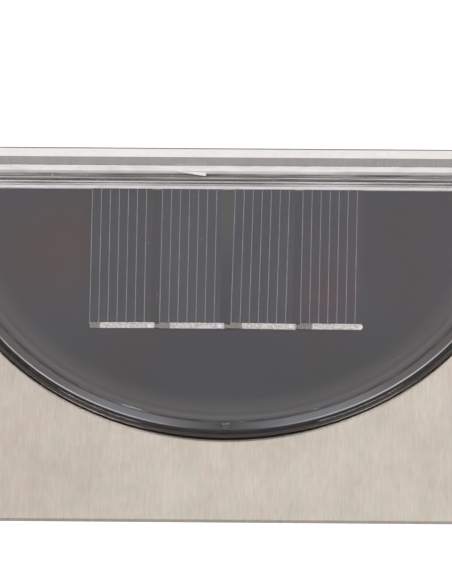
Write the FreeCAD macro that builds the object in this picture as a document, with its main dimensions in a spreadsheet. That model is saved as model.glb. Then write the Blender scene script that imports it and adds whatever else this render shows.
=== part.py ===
import FreeCAD, Part
import math
import os
import Sketcher

# A fence light: a stainless hood that slopes down from the fence, with a half-moon solar lens on
# top and the lamp under it. X runs along the fence, +Y into the fence and +Z up. The fence's face is
# the plane Y = 0, and the origin lies between the two screw holes of the wall bracket.
# The hood, its lens and the solar cells are drawn in the slope frame: its origin is the middle of
# the lens's straight side, its Y runs up the slope and its Z stands square to the hood.

SIZES = {
    # steel and overall form
    "slope": 30.0,  # degrees between the hood and the level
    "side_margin": 10.0,  # from the lens to the lamp's side
    "steel": 0.6,  # sheet of the hood and the back plate
    "stand_off": 4.2,  # from the fence to the rear face of the back plate
    "plate_top": 28.0,  # level of the hook's top
    "plate_bottom": -44.0,
    "plate_round": 6.0,
    "hood_reach": 78.9,  # down the slope, from the lens's straight side to the hood's front edge
    "cheek_drop": 7.14,  # from the hood's front edge down to the cheeks' lower edges
    "cheek_round": 6.0,
    "hem_depth": 6.0,
    "hem_round": 0.5,
    "bend_outer": 1.4,
    "flange_width": 12.0,  # the cheeks' riveted flanges
    "joint_gap": 0.1,  # between sheets that stop short of each other
    # hook and wall bracket
    "hook_drop": 8.0,
    "hook_gap": 0.5,  # from the hook's lip to the fence
    "bracket_steel": 2.0,
    "bracket_width": 64.0,
    "bracket_foot": -14.0,
    "bracket_knee": 9.0,  # level where the bracket starts to lean away from the fence
    "tongue_rise": 6.0,  # height of the lean
    "tongue_clear": 0.3,
    "tongue_round": 6.0,
    "screw_spacing": 40.0,
    "screw_hole": 4.5,
    # rivets between the cheeks' flanges and the back plate
    "rivet_hole": 3.3,
    "rivet_head": 6.2,
    "rivet_cap": 0.9,
    "rivet_dome": 0.6,  # the dome's flat as a share of the head
    "rivet_upset": 0.75,  # the upset end as a share of the head
    "rivet_inset": 6.5,  # from the lamp's side
    "rivet_high": 10.0,
    "rivet_low": -16.0,
    # lens and its seal
    "lens_radius": 60.0,
    "lens_back": 2.9,  # the rim runs this far behind the arc's centre
    "lens_gap": 3.22,  # from the arc's centre to the back plate, level
    "lens_drop": 5.41,  # from the hook's top down to the arc's centre
    "lens_corner": 6.0,
    "gasket_thick": 0.4,
    "crest_rise": 1.62,  # the rim's crest above the hood
    "crest_inset": 1.3,
    "face_rise": 1.11,  # the flat window above the hood
    "rim_width": 3.36,
    "rim_back_width": 3.95,  # along the straight side
    "rim_round": 0.9,
    "window_thick": 1.4,
    "plug_depth": 0.45,
    "plug_wall": 1.2,
    "plug_back_wall": 0.65,
    "opening_inset": 2.4,
    "opening_back": 1.9,
    "tray_step": 0.4,  # tray's inner wall inside the hood's opening
    "slip_fit": 0.2,
    "bead_rise": 3.49,  # top of the sealant above the arc's centre
    "bead_foot": 1.45,  # the sealant's height on the rim
    "bead_belly": 0.75,  # height of its bulge at the corners, as a share of the foot
    # solar panel
    "board_thick": 1.2,
    "cell_width": 12.3,
    "cell_pitch": 14.1,
    "cell_back": 0.3,
    "cell_front": 33.75,
    "cell_thick": 0.2,
    "array_shift": -0.42,
    # the cells are laid by hand: each lies a little off its even place, turned by some degrees
    "cell_1_shift": -0.13,
    "cell_2_shift": -0.06,
    "cell_3_shift": 0.52,
    "cell_4_shift": 0.11,
    "cell_1_turn": 0.27,
    "cell_2_turn": 0.01,
    "cell_3_turn": -0.66,
    "cell_4_turn": -0.23,
    "ribbon_width": 1.1,
    "ribbon_shift": 0.25,  # from the cell's left edge
    "ribbon_thick": 0.1,
    # tray, studs and nuts
    "tray_inset": 1.0,
    "tray_floor": 1.6,
    "ear_radius": 5.0,
    "ear_reach": 3.0,  # studs stand this far outside the lens
    "ear_rear_angle": 12.0,
    "ear_front_angle": 55.0,
    "stud_size": 3.0,
    "stud_clear": 0.2,
    "stud_past": 1.2,
    "nut_flats": 5.5,
    "nut_thick": 2.4,
    # lamp housing
    "housing_inset": 5.0,
    "housing_corner": 1.5,
    "housing_wall": 1.6,
    "housing_flange": 2.0,
    "housing_gap": 1.2,  # from the back plate
    "housing_bottom": -21.0,
    "housing_round": 1.0,
    # battery bay
    "battery_size": 10.4,
    "battery_length": 43.3,
    "battery_rise": 1.6,  # from the housing's floor to the battery
    "battery_x": -3.0,
    "bay_gap": 1.0,  # from the housing's rear wall to the bay
    "button_size": 3.8,
    "button_length": 1.2,
    "contact_room": 4.6,  # spring end
    "leaf_room": 0.9,  # leaf end
    "rib_thick": 1.6,
    "rib_top": -2.4,
    "leaf_thick": 0.4,
    "dimple_tip": 0.9,  # diameter of the dimple that touches the button
    "dimple_foot": 1.5,
    "door_rib_place": 0.6,  # the door's ribs, as a share of half the battery's length
    "door_clear": 0.3,
    "door_lip": 1.2,
    "wire": 0.7,
    # light
    "led_pitch": 15.0,
    "led_place": 0.38,  # share of the way from the light window's back to its front
    "led_size": 5.0,
    "led_collar": 5.8,
    "led_height": 5.6,
    "led_board_z": -6.2,
    "led_board_depth": 10.0,
    "small_board": 1.2,
    "cup_mouth": 10.0,
    "cup_throat": 6.4,
    "cup_wall": 0.8,
    "diffuser_thick": 1.6,
    "diffuser_clear": 0.2,
    "pin_size": 0.8,
    # control board and switch
    "control_depth": 10.4,
    "switch_gap": 2.0,  # from the bay's end rib
    "switch_length": 9.0,
    "switch_depth": 5.0,
    "switch_height": 4.6,
    "knob_length": 3.2,
    "knob_depth": 2.6,
    "knob_out": 1.4,
    "knob_travel": 2.6,
    "knob_groove": 0.4,
    "chip_size": 4.8,
    "chip_thick": 1.6,
    "chip_place": 12.0,  # from the battery's middle
    "choke_place": 9.6,
    "choke_height": 4.8,
    "capacitor_place": 21.6,
    "capacitor_height": 5.3,
    "lead_size": 1.3,
    "lead_spacing": 5.0,
    "spring_size": 10.0,
    "spring_turns": 4.0,
}

doc = FreeCAD.newDocument("FenceLight")
sheet = doc.addObject("Spreadsheet::Sheet", "Sizes")
for row, (alias, number) in enumerate(SIZES.items(), 1):
    sheet.set(f"A{row}", alias)
    sheet.set(f"B{row}", str(number))
    sheet.setAlias(f"B{row}", alias)
doc.recompute()

NODES = []


class Size:
    """A length or an angle: its spreadsheet formula, and the number that the formula gives."""

    def __init__(self, formula, value):
        self.formula = formula
        self.value = value

    def __add__(self, other):
        other = size(other)
        return Size(f"({self.formula} + {other.formula})", self.value + other.value)

    def __sub__(self, other):
        other = size(other)
        return Size(f"({self.formula} - {other.formula})", self.value - other.value)

    def __mul__(self, other):
        other = size(other)
        return Size(f"({self.formula} * {other.formula})", self.value * other.value)

    def __truediv__(self, other):
        other = size(other)
        return Size(f"({self.formula} / {other.formula})", self.value / other.value)

    def __neg__(self):
        return Size(f"(0 - {self.formula})", -self.value)


def size(number):
    """A plain number as a Size."""
    if isinstance(number, Size):
        return number
    return Size(f"({number})", float(number))


def dim(alias):
    """The driving dimension of that name."""
    return Size(f"Sizes.{alias}", SIZES[alias])


def cosine(angle):
    return Size(f"cos({angle.formula})", math.cos(math.radians(angle.value)))


def sine(angle):
    return Size(f"sin({angle.formula})", math.sin(math.radians(angle.value)))


def root(number):
    return Size(f"sqrt({number.formula})", math.sqrt(number.value))


def angle_of(rise, run):
    """The angle of a right triangle's slope."""
    degrees = math.degrees(math.atan(rise.value / run.value))
    return Size(f"atan({rise.formula} / {run.formula})", degrees)


def bind(thing, setting, value):
    thing.setExpression(setting, size(value).formula)


# Places that several pieces share.
SLOPE = dim("slope")
SIDE = dim("lens_radius") + dim("side_margin")
WIDTH = SIDE * 2
PLATE_REAR = -dim("stand_off")
PLATE_FRONT = PLATE_REAR - dim("steel")
LENS_Y = PLATE_FRONT - dim("lens_gap")
LENS_Z = dim("plate_top") - dim("lens_drop")
GASKET_TOP = dim("gasket_thick")
WINDOW_UNDER = dim("face_rise") - dim("window_thick")
BOARD_TOP = WINDOW_UNDER - dim("plug_depth")
CELL_TOP = BOARD_TOP + dim("cell_thick")
FLOOR_TOP = BOARD_TOP - dim("board_thick")
TRAY_UNDER = FLOOR_TOP - dim("tray_floor")
FLANGE_UNDER = TRAY_UNDER - dim("housing_flange")
HOUSING_REAR = PLATE_FRONT - dim("housing_gap")
HOUSING_FLOOR = dim("housing_bottom") + dim("housing_wall")
EAR_RADIUS = dim("lens_radius") + dim("ear_reach")
BATTERY_HALF = dim("battery_length") / 2
LEAF_END = dim("battery_x") + BATTERY_HALF + dim("button_length") + dim("leaf_room")
SPRING_END = dim("battery_x") - BATTERY_HALF - dim("contact_room")
BAY_HALF = dim("battery_size") / 2 + dim("door_clear")
BATTERY_Y = HOUSING_REAR - dim("housing_wall") - dim("bay_gap") - BAY_HALF
BATTERY_Z = HOUSING_FLOOR + dim("battery_rise") + dim("battery_size") / 2


def along_slope(y, z):
    """A point of the side view, given in Y and Z, as the slope frame's Y and Z."""
    across = y - LENS_Y
    up = z - LENS_Z
    return across * cosine(SLOPE) + up * sine(SLOPE), up * cosine(SLOPE) - across * sine(SLOPE)


def housing_front(level):
    """Y of the inner face of the housing's front wall at that level, half-way across."""
    reach = dim("lens_radius") - dim("housing_inset") - dim("housing_wall")
    fall = (LENS_Z - level) * sine(SLOPE) - reach
    return LENS_Y + fall / cosine(SLOPE)


DIFFUSER_BACK = BATTERY_Y - BAY_HALF - dim("door_lip")
LED_Y = DIFFUSER_BACK + (housing_front(HOUSING_FLOOR) - DIFFUSER_BACK) * dim("led_place")
SWITCH_X = LEAF_END + dim("rib_thick") + dim("switch_gap") + dim("switch_length") / 2


def lean(thing):
    """Sets a piece into the slope frame."""
    thing.Placement = FreeCAD.Placement(
        FreeCAD.Vector(0, LENS_Y.value, LENS_Z.value),
        FreeCAD.Rotation(FreeCAD.Vector(1, 0, 0), SLOPE.value),
    )
    bind(thing, "Placement.Base.y", LENS_Y)
    bind(thing, "Placement.Base.z", LENS_Z)
    bind(thing, "Placement.Rotation.Angle", SLOPE)


def keep(thing, label):
    """Names a finished piece, which makes it one of the assembly's nodes."""
    thing.Label = label
    NODES.append(thing)
    return thing


def new_body(name):
    return doc.addObject("PartDesign::Body", name)


def new_sketch(body, name, role, offset=0):
    """A sketch on one of the body's own planes, moved along the plane's normal by offset."""
    sketch = body.newObject("Sketcher::SketchObject", name)
    plane = [feature for feature in body.Origin.OriginFeatures if feature.Role == role][0]
    sketch.AttachmentSupport = [(plane, "")]
    sketch.MapMode = "FlatFace"
    bind(sketch, "AttachmentOffset.Base.z", offset)
    return sketch


def point(x, y):
    return FreeCAD.Vector(size(x).value, size(y).value, 0)


def constrain(sketch, kind, *where, to=None):
    """Adds a constraint, and ties its value to the spreadsheet when it has one."""
    if to is None:
        sketch.addConstraint(Sketcher.Constraint(kind, *where))
        return
    number = sketch.addConstraint(Sketcher.Constraint(kind, *where, size(to).value))
    bind(sketch, f"Constraints[{number}]", to)


def pin(sketch, geometry, end, x, y):
    """Fixes a point of the sketch at x, y from the sketch's origin."""
    constrain(sketch, "DistanceX", -1, 1, geometry, end, to=x)
    constrain(sketch, "DistanceY", -1, 1, geometry, end, to=y)


def draw_polygon(sketch, corners):
    first = sketch.GeometryCount
    count = len(corners)
    for number in range(count):
        start = point(*corners[number])
        stop = point(*corners[(number + 1) % count])
        sketch.addGeometry(Part.LineSegment(start, stop), False)
    for number in range(count):
        following = first + (number + 1) % count
        constrain(sketch, "Coincident", first + number, 2, following, 1)
        pin(sketch, first + number, 1, *corners[number])


def draw_box(sketch, left, right, low, high):
    draw_polygon(sketch, [(left, low), (right, low), (right, high), (left, high)])


def draw_circle(sketch, x, y, radius):
    number = sketch.addGeometry(
        Part.Circle(point(x, y), FreeCAD.Vector(0, 0, 1), size(radius).value), False
    )
    pin(sketch, number, 3, x, y)
    constrain(sketch, "Radius", number, to=radius)


def draw_half_moon(sketch, radius, back, corner):
    """A circle about the origin, cut off by a straight side at Y = back, with rounded corners."""
    corner_y = back - corner
    corner_x = root((radius - corner) * (radius - corner) - corner_y * corner_y)
    right = math.atan2(corner_y.value, corner_x.value)
    left = math.pi - right
    up = FreeCAD.Vector(0, 0, 1)
    circle = Part.Circle(point(0, 0), up, radius.value)
    right_round = Part.Circle(point(corner_x, corner_y), up, corner.value)
    left_round = Part.Circle(point(-corner_x, corner_y), up, corner.value)
    first = sketch.GeometryCount
    sketch.addGeometry(Part.ArcOfCircle(circle, left, right + 2 * math.pi), False)
    sketch.addGeometry(Part.ArcOfCircle(right_round, right, math.pi / 2), False)
    sketch.addGeometry(Part.LineSegment(point(corner_x, back), point(-corner_x, back)), False)
    sketch.addGeometry(Part.ArcOfCircle(left_round, math.pi / 2, left), False)
    constrain(sketch, "Coincident", first, 3, -1, 1)
    for step in range(4):
        constrain(sketch, "Tangent", first + step, 2, first + (step + 1) % 4, 1)
    constrain(sketch, "Radius", first, to=radius)
    constrain(sketch, "Radius", first + 1, to=corner)
    constrain(sketch, "Equal", first + 1, first + 3)
    constrain(sketch, "Horizontal", first + 2)
    constrain(sketch, "DistanceY", -1, 1, first + 2, 1, to=back)


def moon(sketch, inset, back, corner=None):
    """A half-moon that runs inside the lens's outline, with its straight side at Y = back."""
    radius = dim("lens_radius") - inset
    draw_half_moon(sketch, radius, size(back), corner or dim("lens_corner") - inset)


def pad(body, sketch, length, both=False, down=False):
    feature = body.newObject("PartDesign::Pad", sketch.Name + "Pad")
    feature.Profile = sketch
    feature.SideType = "Symmetric" if both else "One side"
    feature.Reversed = down
    bind(feature, "Length", length)
    doc.recompute()
    return feature


def pocket(body, sketch, length, both=False, up=False):
    """Cuts down from the sketch, or up, or both ways, and makes sure that it cut something."""
    before = body.Shape.Volume
    feature = body.newObject("PartDesign::Pocket", sketch.Name + "Pocket")
    feature.Profile = sketch
    feature.SideType = "Symmetric" if both else "One side"
    feature.Reversed = up
    bind(feature, "Length", length)
    doc.recompute()
    if body.Shape.Volume >= before:
        raise RuntimeError(f"{feature.Name} cut nothing")
    return feature


def edges_where(feature, test):
    """Names of the feature's edges whose middle point passes the test."""
    names = []
    for number, edge in enumerate(feature.Shape.Edges, 1):
        middle = edge.valueAt((edge.FirstParameter + edge.LastParameter) / 2)
        if test(edge, middle):
            names.append(f"Edge{number}")
    return names


def fillet(body, radius, test):
    feature = body.newObject("PartDesign::Fillet", body.Name + "Round")
    base = feature.BaseFeature
    names = edges_where(base, test)
    if not names:
        raise RuntimeError(f"{feature.Name} has no edge")
    feature.Base = (base, names)
    bind(feature, "Radius", radius)
    doc.recompute()
    return feature


def near(number, wanted):
    return abs(number - size(wanted).value) < 0.01


def straight_along(edge, axis):
    """True for a straight edge along that axis, 0 for X, 1 for Y and 2 for Z."""
    ends = [vertex.Point for vertex in edge.Vertexes]
    if len(ends) != 2 or edge.Curve.TypeId != "Part::GeomLine":
        return False
    run = ends[1] - ends[0]
    return abs(abs(run[axis]) - run.Length) < 1e-6


def ear_places():
    """The studs' places in the slope frame: two near the corners and two beside the arc."""
    places = []
    for alias in ("ear_rear_angle", "ear_front_angle"):
        angle = dim(alias)
        for hand in (-1, 1):
            places.append((EAR_RADIUS * cosine(angle) * hand, -EAR_RADIUS * sine(angle)))
    return places


def wall_bracket():
    """A steel strip that leans away from the fence at the top, for the lamp's hook to hang on."""
    sheet_thick = dim("bracket_steel")
    knee = dim("bracket_knee")
    rise = dim("tongue_rise")
    tongue_top = dim("plate_top") - dim("steel") - dim("tongue_clear")
    tongue_rear = -(dim("hook_gap") + dim("steel") + dim("tongue_clear"))
    foot_front = PLATE_REAR + dim("tongue_clear")
    foot = dim("bracket_foot")
    body = new_body("WallBracket")
    side = new_sketch(body, "BracketSide", "YZ_Plane")
    corners = [
        (0, foot),
        (0, knee),
        (tongue_rear, knee + rise),
        (tongue_rear, tongue_top),
        (tongue_rear - sheet_thick, tongue_top),
        (tongue_rear - sheet_thick, knee + rise),
        (-sheet_thick, knee),
        (-sheet_thick, foot + sheet_thick),
        (foot_front, foot + sheet_thick),
        (foot_front, foot),
    ]
    draw_polygon(side, corners)
    pad(body, side, dim("bracket_width"), both=True)
    holes = new_sketch(body, "BracketHoles", "XZ_Plane")
    for hand in (-1, 1):
        draw_circle(holes, dim("screw_spacing") / 2 * hand, 0, dim("screw_hole") / 2)
    pocket(body, holes, dim("stand_off") * 4, both=True)
    tongue_middle = (tongue_rear - sheet_thick / 2).value
    fillet(
        body,
        dim("tongue_round"),
        lambda edge, middle: straight_along(edge, 1)
        and near(middle.z, tongue_top)
        and abs(middle.y - tongue_middle) < 0.1,
    )
    keep(body, "wall_bracket")


def back_plate():
    """The lamp's rear sheet. Its top turns back over the bracket and down behind it as a hook."""
    steel = dim("steel")
    top = dim("plate_top")
    lip_rear = -dim("hook_gap")
    body = new_body("BackPlate")
    side = new_sketch(body, "PlateSide", "YZ_Plane")
    corners = [
        (PLATE_FRONT, dim("plate_bottom")),
        (PLATE_REAR, dim("plate_bottom")),
        (PLATE_REAR, top - steel),
        (lip_rear - steel, top - steel),
        (lip_rear - steel, top - dim("hook_drop")),
        (lip_rear, top - dim("hook_drop")),
        (lip_rear, top),
        (PLATE_FRONT, top),
    ]
    draw_polygon(side, corners)
    pad(body, side, WIDTH, both=True)
    holes = new_sketch(body, "PlateHoles", "XZ_Plane")
    for x, z in rivet_places():
        draw_circle(holes, x, z, dim("rivet_hole") / 2)
    pocket(body, holes, dim("stand_off") * 4, both=True)
    fillet(
        body,
        dim("plate_round"),
        lambda edge, middle: straight_along(edge, 1) and near(middle.z, dim("plate_bottom")),
    )
    fillet(
        body,
        steel,
        lambda edge, middle: straight_along(edge, 0)
        and near(middle.z, top)
        and near(middle.y, lip_rear),
    )
    keep(body, "back_plate")


def rivet_places():
    """X and Z of the four rivets."""
    inset = SIDE - dim("rivet_inset")
    return [
        (inset * hand, dim(level)) for hand in (-1, 1) for level in ("rivet_low", "rivet_high")
    ]


def near_plate(middle, inward):
    """True if a point of the slope frame lies on the plane that far in front of the back plate."""
    level_y = LENS_Y.value + middle.y * cosine(SLOPE).value - middle.z * sine(SLOPE).value
    return abs(level_y - (PLATE_FRONT - inward).value) < 0.01


def cylinder(name, radius, height, x, y, z, turn=None):
    """A round bar from x, y, z, standing up, or turned about an axis by a right angle."""
    bar = doc.addObject("Part::Cylinder", name)
    bar.Placement = FreeCAD.Placement(
        FreeCAD.Vector(size(x).value, size(y).value, size(z).value),
        FreeCAD.Rotation(turn or FreeCAD.Vector(0, 0, 1), -90 if turn else 0),
    )
    bind(bar, "Radius", radius)
    bind(bar, "Height", height)
    bind(bar, "Placement.Base.x", x)
    bind(bar, "Placement.Base.y", y)
    bind(bar, "Placement.Base.z", z)
    return bar


def block(name, x, y, z):
    """A box between two values each of X, Y and Z."""
    box = doc.addObject("Part::Box", name)
    for axis, side, (low, high) in zip("xyz", ("Length", "Width", "Height"), (x, y, z)):
        bind(box, side, size(high) - low)
        bind(box, f"Placement.Base.{axis}", low)
    return box


def joined(name, pieces):
    fuse = doc.addObject("Part::MultiFuse", name)
    fuse.Shapes = pieces
    return fuse


def common(name, base, tool):
    both = doc.addObject("Part::Common", name)
    both.Base = base
    both.Tool = tool
    return both


def cut_away(name, base, tools):
    """The base less the tools."""
    cut = doc.addObject("Part::Cut", name)
    cut.Base = base
    cut.Tool = joined(name + "Tools", tools) if len(tools) > 1 else tools[0]
    return cut


def group(name, pieces):
    """Equal pieces that share one node as separate solids."""
    together = doc.addObject("Part::Compound", name)
    together.Links = pieces
    return together


def turned(name, profile, x, y, z, axis=None, angle=-90):
    """A piece turned on a lathe: its profile in radius and length, set with its foot at x, y, z."""
    body = new_body(name)
    sketch = new_sketch(body, name + "Profile", "XZ_Plane")
    draw_polygon(sketch, profile)
    spin = body.newObject("PartDesign::Revolution", name + "Spin")
    spin.Profile = sketch
    spin.ReferenceAxis = (sketch, ["V_Axis"])
    spin.Angle = 360
    body.Placement = FreeCAD.Placement(
        FreeCAD.Vector(size(x).value, size(y).value, size(z).value),
        FreeCAD.Rotation(axis or FreeCAD.Vector(0, 0, 1), angle if axis else 0),
    )
    bind(body, "Placement.Base.x", x)
    bind(body, "Placement.Base.y", y)
    bind(body, "Placement.Base.z", z)
    doc.recompute()
    return body


def hood():
    """The sloping sheet with its folded cheeks, their riveted flanges and the hemmed front edge."""
    steel = dim("steel")
    front = -dim("hood_reach")
    bottom = LENS_Z + front * sine(SLOPE) - dim("cheek_drop")
    plate = PLATE_FRONT - dim("joint_gap")
    rear_v = (plate - LENS_Y) / cosine(SLOPE)
    front_y = LENS_Y + front * cosine(SLOPE)
    body = new_body("HoodSheet")
    side = new_sketch(body, "HoodSide", "YZ_Plane")
    corners = [
        (rear_v, 0),
        (front, 0),
        along_slope(front_y, bottom),
        along_slope(plate, bottom),
    ]
    draw_polygon(side, corners)
    pad(body, side, WIDTH, both=True)
    fillet(
        body,
        dim("bend_outer"),
        lambda edge, middle: near(abs(middle.x), SIDE)
        and (near(middle.z, 0) or near_plate(middle, dim("joint_gap"))),
    )
    inner_rear = plate - steel
    under = -steel
    inside = new_sketch(body, "HoodInside", "YZ_Plane")
    deep = bottom * 2
    corners = [
        ((inner_rear - LENS_Y + under * sine(SLOPE)) / cosine(SLOPE), under),
        (front * 2, under),
        along_slope(front_y * 2, deep),
        along_slope(inner_rear, deep),
    ]
    draw_polygon(inside, corners)
    pocket(body, inside, WIDTH - steel * 2, both=True)
    fillet(
        body,
        dim("bend_outer") - steel,
        lambda edge, middle: near(abs(middle.x), SIDE - steel)
        and (near(middle.z, under) or near_plate(middle, steel + dim("joint_gap"))),
    )
    between = new_sketch(body, "HoodBetweenFlanges", "YZ_Plane")
    open_y = plate + steel
    corners = [
        ((inner_rear - steel - LENS_Y + under * sine(SLOPE)) / cosine(SLOPE), under),
        ((open_y - LENS_Y + under * sine(SLOPE)) / cosine(SLOPE), under),
        along_slope(open_y, deep),
        along_slope(inner_rear - steel, deep),
    ]
    draw_polygon(between, corners)
    pocket(body, between, WIDTH - dim("flange_width") * 2, both=True)
    hem = new_sketch(body, "HoodHem", "YZ_Plane")
    draw_box(hem, front, front + dim("hem_depth"), -steel * 2, 0)
    pad(body, hem, WIDTH - dim("bend_outer") * 2, both=True)
    opening = new_sketch(body, "HoodOpening", "XY_Plane", steel)
    moon(opening, dim("opening_inset"), dim("opening_back"))
    pocket(body, opening, steel * 3)
    cheek_v, cheek_n = along_slope(front_y, bottom)
    fillet(
        body,
        dim("cheek_round"),
        lambda edge, middle: straight_along(edge, 0)
        and edge.Length < steel.value * 2
        and near(middle.y, cheek_v)
        and near(middle.z, cheek_n),
    )
    fillet(
        body,
        dim("hem_round"),
        lambda edge, middle: straight_along(edge, 0)
        and edge.Length > SIDE.value
        and near(middle.y, front)
        and near(middle.z, -steel * 2),
    )
    lean(body)
    bores = []
    for number, (x, z) in enumerate(rivet_places(), 1):
        radius = dim("rivet_hole") / 2
        start = PLATE_FRONT - dim("stand_off")
        length = dim("stand_off") * 2
        name = f"HoodBore{number}"
        bores.append(cylinder(name, radius, length, x, start, z, FreeCAD.Vector(1, 0, 0)))
    keep(cut_away("Hood", body, bores), "hood")


def hood_rivets():
    """Four blind rivets, their heads on the cheeks' flanges and their upset ends behind."""
    shank = (dim("rivet_hole") - dim("joint_gap")) / 2
    cap = dim("rivet_cap")
    grip = dim("steel") * 2 + dim("joint_gap")
    head = dim("rivet_head") / 2
    profile = [
        (0, 0),
        (head * dim("rivet_dome"), 0),
        (head, cap * dim("rivet_dome")),
        (head, cap),
        (shank, cap),
        (shank, cap + grip),
        (head * dim("rivet_upset"), cap + grip),
        (head * dim("rivet_upset"), cap * 2 + grip),
        (0, cap * 2 + grip),
    ]
    foot = PLATE_FRONT - dim("steel") - dim("joint_gap") - cap
    rivets = []
    for number, (x, z) in enumerate(rivet_places(), 1):
        axis = FreeCAD.Vector(1, 0, 0)
        rivets.append(turned(f"Rivet{number}", profile, x, foot, z, axis))
    keep(group("HoodRivets", rivets), "hood_rivets")


def lens_gasket():
    """The black foam seal between the lens's rim and the hood."""
    body = new_body("LensGasket")
    ring = new_sketch(body, "GasketRing", "XY_Plane")
    moon(ring, 0, dim("lens_back"))
    moon(ring, dim("opening_inset"), dim("opening_back"))
    pad(body, ring, dim("gasket_thick"))
    lean(body)
    keep(body, "lens_gasket")


def solar_lens():
    """The clear half-moon: a raised rim about a flat window, and a plug that locates it."""
    body = new_body("SolarLens")
    plug_inset = dim("opening_inset") + dim("tray_step") + dim("slip_fit")
    plug_back = dim("opening_back") - dim("tray_step") - dim("slip_fit")
    rim = new_sketch(body, "LensRim", "XY_Plane", GASKET_TOP)
    moon(rim, 0, dim("lens_back"))
    pad(body, rim, dim("crest_rise") - GASKET_TOP)
    fillet(
        body,
        dim("rim_round"),
        lambda edge, middle: near(middle.z, dim("crest_rise")),
    )
    window = new_sketch(body, "LensWindow", "XY_Plane", dim("face_rise"))
    moon(window, dim("rim_width"), dim("lens_back") - dim("rim_back_width"))
    crest = new_sketch(body, "LensCrest", "XY_Plane", dim("crest_rise"))
    moon(crest, dim("crest_inset"), dim("lens_back") - dim("crest_inset"))
    dish = body.newObject("PartDesign::SubtractiveLoft", "LensDish")
    dish.Profile = window
    dish.Sections = [crest]
    dish.Ruled = True
    plug = new_sketch(body, "LensPlug", "XY_Plane", BOARD_TOP)
    moon(plug, plug_inset, plug_back)
    pad(body, plug, GASKET_TOP - BOARD_TOP)
    hollow = new_sketch(body, "LensHollow", "XY_Plane", WINDOW_UNDER)
    moon(hollow, plug_inset + dim("plug_wall"), plug_back - dim("plug_back_wall"))
    pocket(body, hollow, dim("plug_depth") + dim("slip_fit"))
    lean(body)
    keep(body, "solar_lens")


def sealant_bead():
    """Silicone in the corner between the hood, the lens's rim and the back plate."""
    body = new_body("SealantBead")
    side = new_sketch(body, "BeadSide", "YZ_Plane")
    back = dim("lens_back")
    foot = dim("bead_foot")
    rear_v = (PLATE_FRONT - LENS_Y) / cosine(SLOPE)
    corners = [
        (back - foot, 0),
        (back - foot / 2, foot * dim("bead_belly")),
        (back, foot),
        along_slope(PLATE_FRONT, LENS_Z + dim("bead_rise")),
        (rear_v, 0),
    ]
    draw_polygon(side, corners)
    pad(body, side, (SIDE - dim("bend_outer")) * 2, both=True)
    lens = new_sketch(body, "BeadLens", "XY_Plane")
    moon(lens, 0, back)
    pocket(body, lens, dim("crest_rise") * 2, up=True)
    lean(body)
    keep(body, "sealant_bead")


def panel_board():
    """The black board that carries the solar cells."""
    body = new_body("PanelBoard")
    outline = new_sketch(body, "BoardOutline", "XY_Plane", FLOOR_TOP)
    inset = dim("opening_inset") + dim("tray_step") + dim("slip_fit")
    moon(outline, inset, dim("opening_back") - dim("tray_step") - dim("slip_fit"))
    pad(body, outline, dim("board_thick"))
    lean(body)
    keep(body, "panel_board")


def cell_sketch(body, name, number, height):
    """A sketch that lies where that cell does, turned as the cell is."""
    sketch = new_sketch(body, name, "XY_Plane", height)
    turn = dim(f"cell_{number}_turn")
    middle = dim("array_shift") + dim("cell_pitch") * (number - 2.5) + dim(f"cell_{number}_shift")
    sketch.AttachmentOffset = FreeCAD.Placement(
        point(middle, 0), FreeCAD.Rotation(FreeCAD.Vector(0, 0, 1), turn.value)
    )
    bind(sketch, "AttachmentOffset.Base.x", middle)
    bind(sketch, "AttachmentOffset.Base.z", height)
    bind(sketch, "AttachmentOffset.Rotation.Angle", turn)
    return sketch


def solar_cells():
    """Four silicon cells in a row."""
    half = dim("cell_width") / 2
    for number in range(1, 5):
        body = new_body(f"SolarCell{number}")
        outline = cell_sketch(body, f"CellOutline{number}", number, BOARD_TOP)
        draw_box(outline, -half, half, -dim("cell_front"), dim("cell_back"))
        pad(body, outline, dim("cell_thick"))
        lean(body)
        keep(body, f"solar_cell_{number}")


def cell_ribbons():
    """The tinned strips along the cells' front edges, each reaching over the gap to the next."""
    half = dim("cell_width") / 2
    gap = dim("cell_pitch") - dim("cell_width")
    strips = []
    for number in range(1, 5):
        body = new_body(f"Ribbon{number}")
        outline = cell_sketch(body, f"RibbonOutline{number}", number, CELL_TOP)
        right = half + (gap / 2 if number < 4 else dim("ribbon_shift"))
        front = -dim("cell_front")
        left = dim("ribbon_shift") - half
        draw_box(outline, left, right, front, front + dim("ribbon_width"))
        pad(body, outline, dim("ribbon_thick"))
        lean(body)
        strips.append(body)
    keep(group("CellRibbons", strips), "cell_ribbons")


def add_ears(body, name, top, thick):
    """Four round ears for the studs, their tops at that height, with their holes."""
    ears = new_sketch(body, name + "Ears", "XY_Plane", top)
    for x, y in ear_places():
        draw_circle(ears, x, y, dim("ear_radius"))
    pad(body, ears, thick, down=True)


def bore_ears(body, name, top, thick):
    holes = new_sketch(body, name + "Holes", "XY_Plane", top)
    for x, y in ear_places():
        draw_circle(holes, x, y, dim("stud_size") / 2 + dim("stud_clear"))
    pocket(body, holes, thick)


def trim(body, name, rear, floor):
    """Cuts off what lies behind the level place rear, and below floor when one is given."""
    beyond = dim("hood_reach") * 2
    waste = new_sketch(body, name + "Waste", "YZ_Plane")
    if floor is None:
        corners = [
            along_slope(rear, beyond),
            along_slope(rear, -beyond),
            along_slope(rear + beyond, -beyond),
            along_slope(rear + beyond, beyond),
        ]
    else:
        corners = [
            along_slope(rear, beyond),
            along_slope(rear, floor),
            along_slope(-beyond, floor),
            along_slope(-beyond, -beyond),
            along_slope(beyond, -beyond),
            along_slope(beyond, beyond),
        ]
    draw_polygon(waste, corners)
    pocket(body, waste, WIDTH * 2, both=True)


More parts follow.
